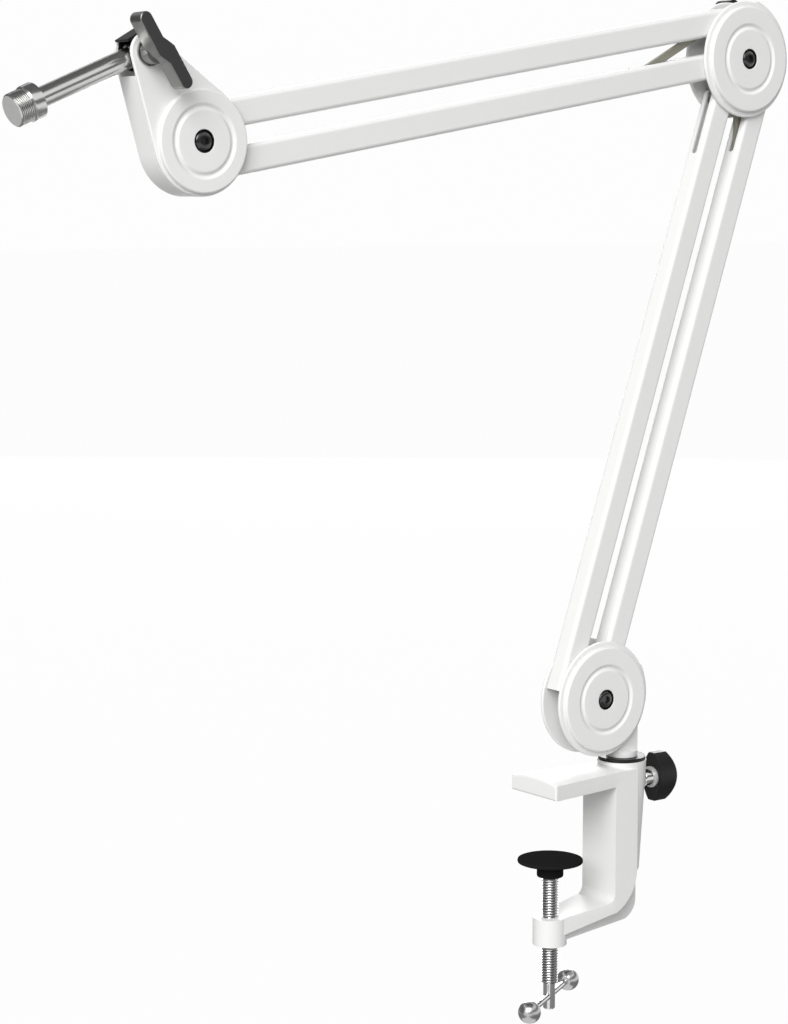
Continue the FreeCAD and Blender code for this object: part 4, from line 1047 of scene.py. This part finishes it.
@dataclass(frozen=True)
class Flag:
    """Dark cloth on a frame that only polished metal shows, as in a studio.

    It faces the arm or lies on the floor; its bearing is taken from the camera's, to the right as the camera
    sees it.
    """

    name: str
    bearing_deg: float
    climb_deg: float
    distance: float
    width: float
    height: float
    lying: bool = False


def heading(bearing_deg: float, climb_deg: float) -> Vector:
    """Gives the unit vector of a bearing from +Y towards +X and a climb from the level."""
    bearing, climb = math.radians(bearing_deg), math.radians(climb_deg)
    return Vector((math.sin(bearing) * math.cos(climb), math.cos(bearing) * math.cos(climb), math.sin(climb)))


@dataclass
class Studio:
    """Camera at the photograph's angle, pale ground and soft light."""

    eye: tuple[float, float, float] = (-0.8761, -1.0069, 0.3200)
    yaw_deg: float = 37.34
    pitch_deg: float = -7.08
    focal_px: float = 2486.0
    frame_height_px: float = 1024.0
    sensor_mm: float = 36.0
    target: tuple[float, float, float] = (-0.05, 0.0, 0.15)
    floor_z: float = -0.34
    floor_size: float = 60.0
    floor_colour: str = "#B2B2B2"
    ground_glow: float = 0.97
    sky_level: float = 0.44
    sky_seen: float = 0.985
    boxes: tuple[SoftBox, ...] = (
        SoftBox("key_box", (-0.68, -0.48, 0.55), 5.0, 3.4, 272.0),
        SoftBox("fill_box", (0.62, 0.75, 0.16), 5.0, 2.6, 130.0),
    )
    cloth_colour: str = "#8A8A8A"
    cloth_rise: float = 0.004
    flags: tuple[Flag, ...] = (
        Flag("camera_flag", 0.0, 7.0, 1.9, 2.0, 0.9),
        Flag("overhead_flag", 180.0, 84.0, 1.9, 2.6, 2.4),
        Flag("right_front_flag", 62.0, 15.0, 1.5, 1.9, 0.6),
        Flag("right_rear_flag", 122.0, 15.0, 1.5, 1.4, 0.6),
        Flag("left_front_flag", -88.0, 9.0, 1.5, 1.8, 1.8),
        Flag("left_rear_flag", -142.0, 9.0, 1.5, 1.3, 1.8),
        Flag("right_front_cloth", 60.0, 0.0, 0.72, 0.9, 1.05, lying=True),
        Flag("right_rear_cloth", 118.0, 0.0, 0.72, 0.8, 1.05, lying=True),
        Flag("left_front_cloth", -88.0, 0.0, 0.72, 0.9, 1.05, lying=True),
        Flag("left_rear_cloth", -142.0, 0.0, 0.72, 0.8, 1.05, lying=True),
    )

    def build(self) -> None:
        """Adds camera, lights, floor, flags and world."""
        self.add_camera()
        for box in self.boxes:
            self.add_box(box)
        self.add_floor()
        for flag in self.flags:
            self.add_flag(flag)
        self.add_world()
        bpy.context.scene.view_settings.view_transform = "Standard"

    def add_camera(self) -> None:
        """Sets the camera that matches the photograph."""
        data = bpy.data.cameras.new("photo_camera")
        data.sensor_width = self.sensor_mm
        data.lens = self.focal_px / self.frame_height_px * self.sensor_mm
        camera = bpy.data.objects.new("photo_camera", data)
        camera.location = self.eye
        camera.rotation_euler = heading(self.yaw_deg, self.pitch_deg).to_track_quat("-Z", "Y").to_euler()
        bpy.context.scene.collection.objects.link(camera)
        bpy.context.scene.camera = camera

    def add_box(self, box: SoftBox) -> None:
        """Adds one soft box.

        Args:
            box: Its place, size and power.
        """
        data = bpy.data.lights.new(box.name, "AREA")
        data.size = box.size
        data.energy = box.watts
        offset = Vector(box.way).normalized() * box.distance
        light = bpy.data.objects.new(box.name, data)
        light.location = Vector(self.target) + offset
        light.rotation_euler = (-offset).to_track_quat("-Z", "Y").to_euler()
        bpy.context.scene.collection.objects.link(light)

    def seen(self, tree: bpy.types.NodeTree) -> bpy.types.NodeSocket:
        """Adds the test that picks rays from the camera, from polished metal and through glass.

        Args:
            tree: Node tree of the floor or the sky.

        Returns:
            Socket that is one for such rays.
        """
        path = add_node(tree, "ShaderNodeLightPath")
        direct = add_node(tree, "ShaderNodeMath", {"operation": "MAXIMUM"},
                          {0: path.outputs["Is Camera Ray"], 1: path.outputs["Is Glossy Ray"]})
        every = add_node(tree, "ShaderNodeMath", {"operation": "MAXIMUM"},
                         {0: direct.outputs["Value"], 1: path.outputs["Is Transmission Ray"]})
        return every.outputs["Value"]

    def add_floor(self) -> None:
        """Adds the pale floor, which shows white to the camera and in reflections and keeps a faint shadow."""
        clear_bench()
        bpy.ops.mesh.primitive_plane_add(size=self.floor_size, location=(0, 0, self.floor_z))
        floor = bpy.context.object
        floor.name = "studio_floor"
        bpy.ops.object.transform_apply(location=True, rotation=True, scale=True)
        material = bpy.data.materials.new("pale_floor")
        tree = empty_tree(material)
        share = add_node(tree, "ShaderNodeMath", {"operation": "MULTIPLY"},
                         {0: self.seen(tree), 1: self.ground_glow})
        matt = add_node(tree, "ShaderNodeBsdfDiffuse", None, {"Color": linear(self.floor_colour)})
        glow = add_node(tree, "ShaderNodeEmission", None, {"Color": (1, 1, 1, 1), "Strength": 1.0})
        both = add_node(tree, "ShaderNodeMixShader", None,
                        {0: share.outputs["Value"], 1: matt.outputs["BSDF"], 2: glow.outputs["Emission"]})
        add_node(tree, "ShaderNodeOutputMaterial", None, {"Surface": both.outputs["Shader"]})
        floor.data.materials.append(material)

    def add_flag(self, flag: Flag) -> None:
        """Hangs one flag, or lays it on the floor.

        Args:
            flag: Its place and size.
        """
        bearing_deg = self.yaw_deg + 180 - flag.bearing_deg
        way = heading(bearing_deg, flag.climb_deg)
        clear_bench()
        bpy.ops.mesh.primitive_plane_add(size=1.0, location=(0, 0, 0))
        cloth = bpy.context.object
        cloth.name = flag.name
        cloth.scale = (flag.width, flag.height, 1.0)
        cloth.location = Vector(self.target) + flag.distance * way
        if flag.lying:
            cloth.rotation_euler = (0, 0, -math.radians(bearing_deg))
            cloth.location.z = self.floor_z + self.cloth_rise
        else:
            cloth.rotation_euler = (-way).to_track_quat("Z", "Y").to_euler()
        bpy.ops.object.transform_apply(location=True, rotation=True, scale=True)
        cloth.visible_camera = False
        cloth.visible_diffuse = False
        cloth.visible_shadow = False
        material = bpy.data.materials.new(flag.name + "_cloth")
        tree = empty_tree(material)
        matt = add_node(tree, "ShaderNodeBsdfDiffuse", None, {"Color": linear(self.cloth_colour)})
        add_node(tree, "ShaderNodeOutputMaterial", None, {"Surface": matt.outputs["BSDF"]})
        cloth.data.materials.append(material)

    def add_world(self) -> None:
        """Adds an even pale sky that shows white to the camera and in reflections."""
        world = bpy.data.worlds.new("pale_sky")
        tree = empty_tree(world)
        level = add_node(tree, "ShaderNodeMapRange", None,
                         {"Value": self.seen(tree), "To Min": self.sky_level, "To Max": self.sky_seen})
        sky = add_node(tree, "ShaderNodeBackground", None,
                       {"Color": (1, 1, 1, 1), "Strength": level.outputs["Result"]})
        add_node(tree, "ShaderNodeOutputWorld", None, {"Surface": sky.outputs["Background"]})
        bpy.context.scene.world = world


def dress_construction(shop: Workshop) -> None:
    """Gives every carried-over node the finish of its slot.

    Args:
        shop: Loaded construction.
    """
    for row in shop.frame["record"]["subparts"]:
        node = shop.frame["nodes"][row["node"]]
        node.data.materials.clear()
        node.data.materials.append(shop.material(SLOT_FINISH[row["material_slot"]]))
        log.info("dressed %s as %s", row["node"], row["material_slot"])


def assemblies(shop: Workshop) -> list[Assembly]:
    """Lists the assemblies that get detailed pieces.

    Args:
        shop: Loaded construction.

    Returns:
        The assemblies, in the order in which they are built.
    """
    listed: list[Assembly] = [
        DeskClamp(shop), SwivelLock(shop), MicrophoneStud(shop), TensionLever(shop, "head_lever", Side.FRONT),
        TensionLever(shop, "elbow_lever", Side.REAR, flank=BLACK_NYLON),
    ]
    listed += [PivotPins(shop, joint + "_pivot_pins") for joint in GROOVE_MM]
    for joint, groove_mm in GROOVE_MM.items():
        listed += [RoundCover(shop, joint + "_front_cover", Side.FRONT, groove_mm),
                   RoundCover(shop, joint + "_rear_cover", Side.REAR, groove_mm)]
    listed += [CoverScrews(shop, "base_cover_screws", "base_front_cover"),
               CoverScrews(shop, "elbow_cover_screw", "elbow_front_cover", (Side.FRONT,)),
               CoverScrews(shop, "head_cover_screws", "head_front_cover")]
    return listed


def main() -> None:
    """Dresses the arm, adds its detailed pieces and builds the studio."""
    logging.basicConfig(level=logging.INFO, format="%(name)s: %(message)s")
    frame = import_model()
    clear_bench()
    shop = Workshop(frame)
    dress_construction(shop)
    for assembly in assemblies(shop):
        assembly.build()
        assembly.dress()
    Studio().build()


if __name__ == "__main__":
    main()
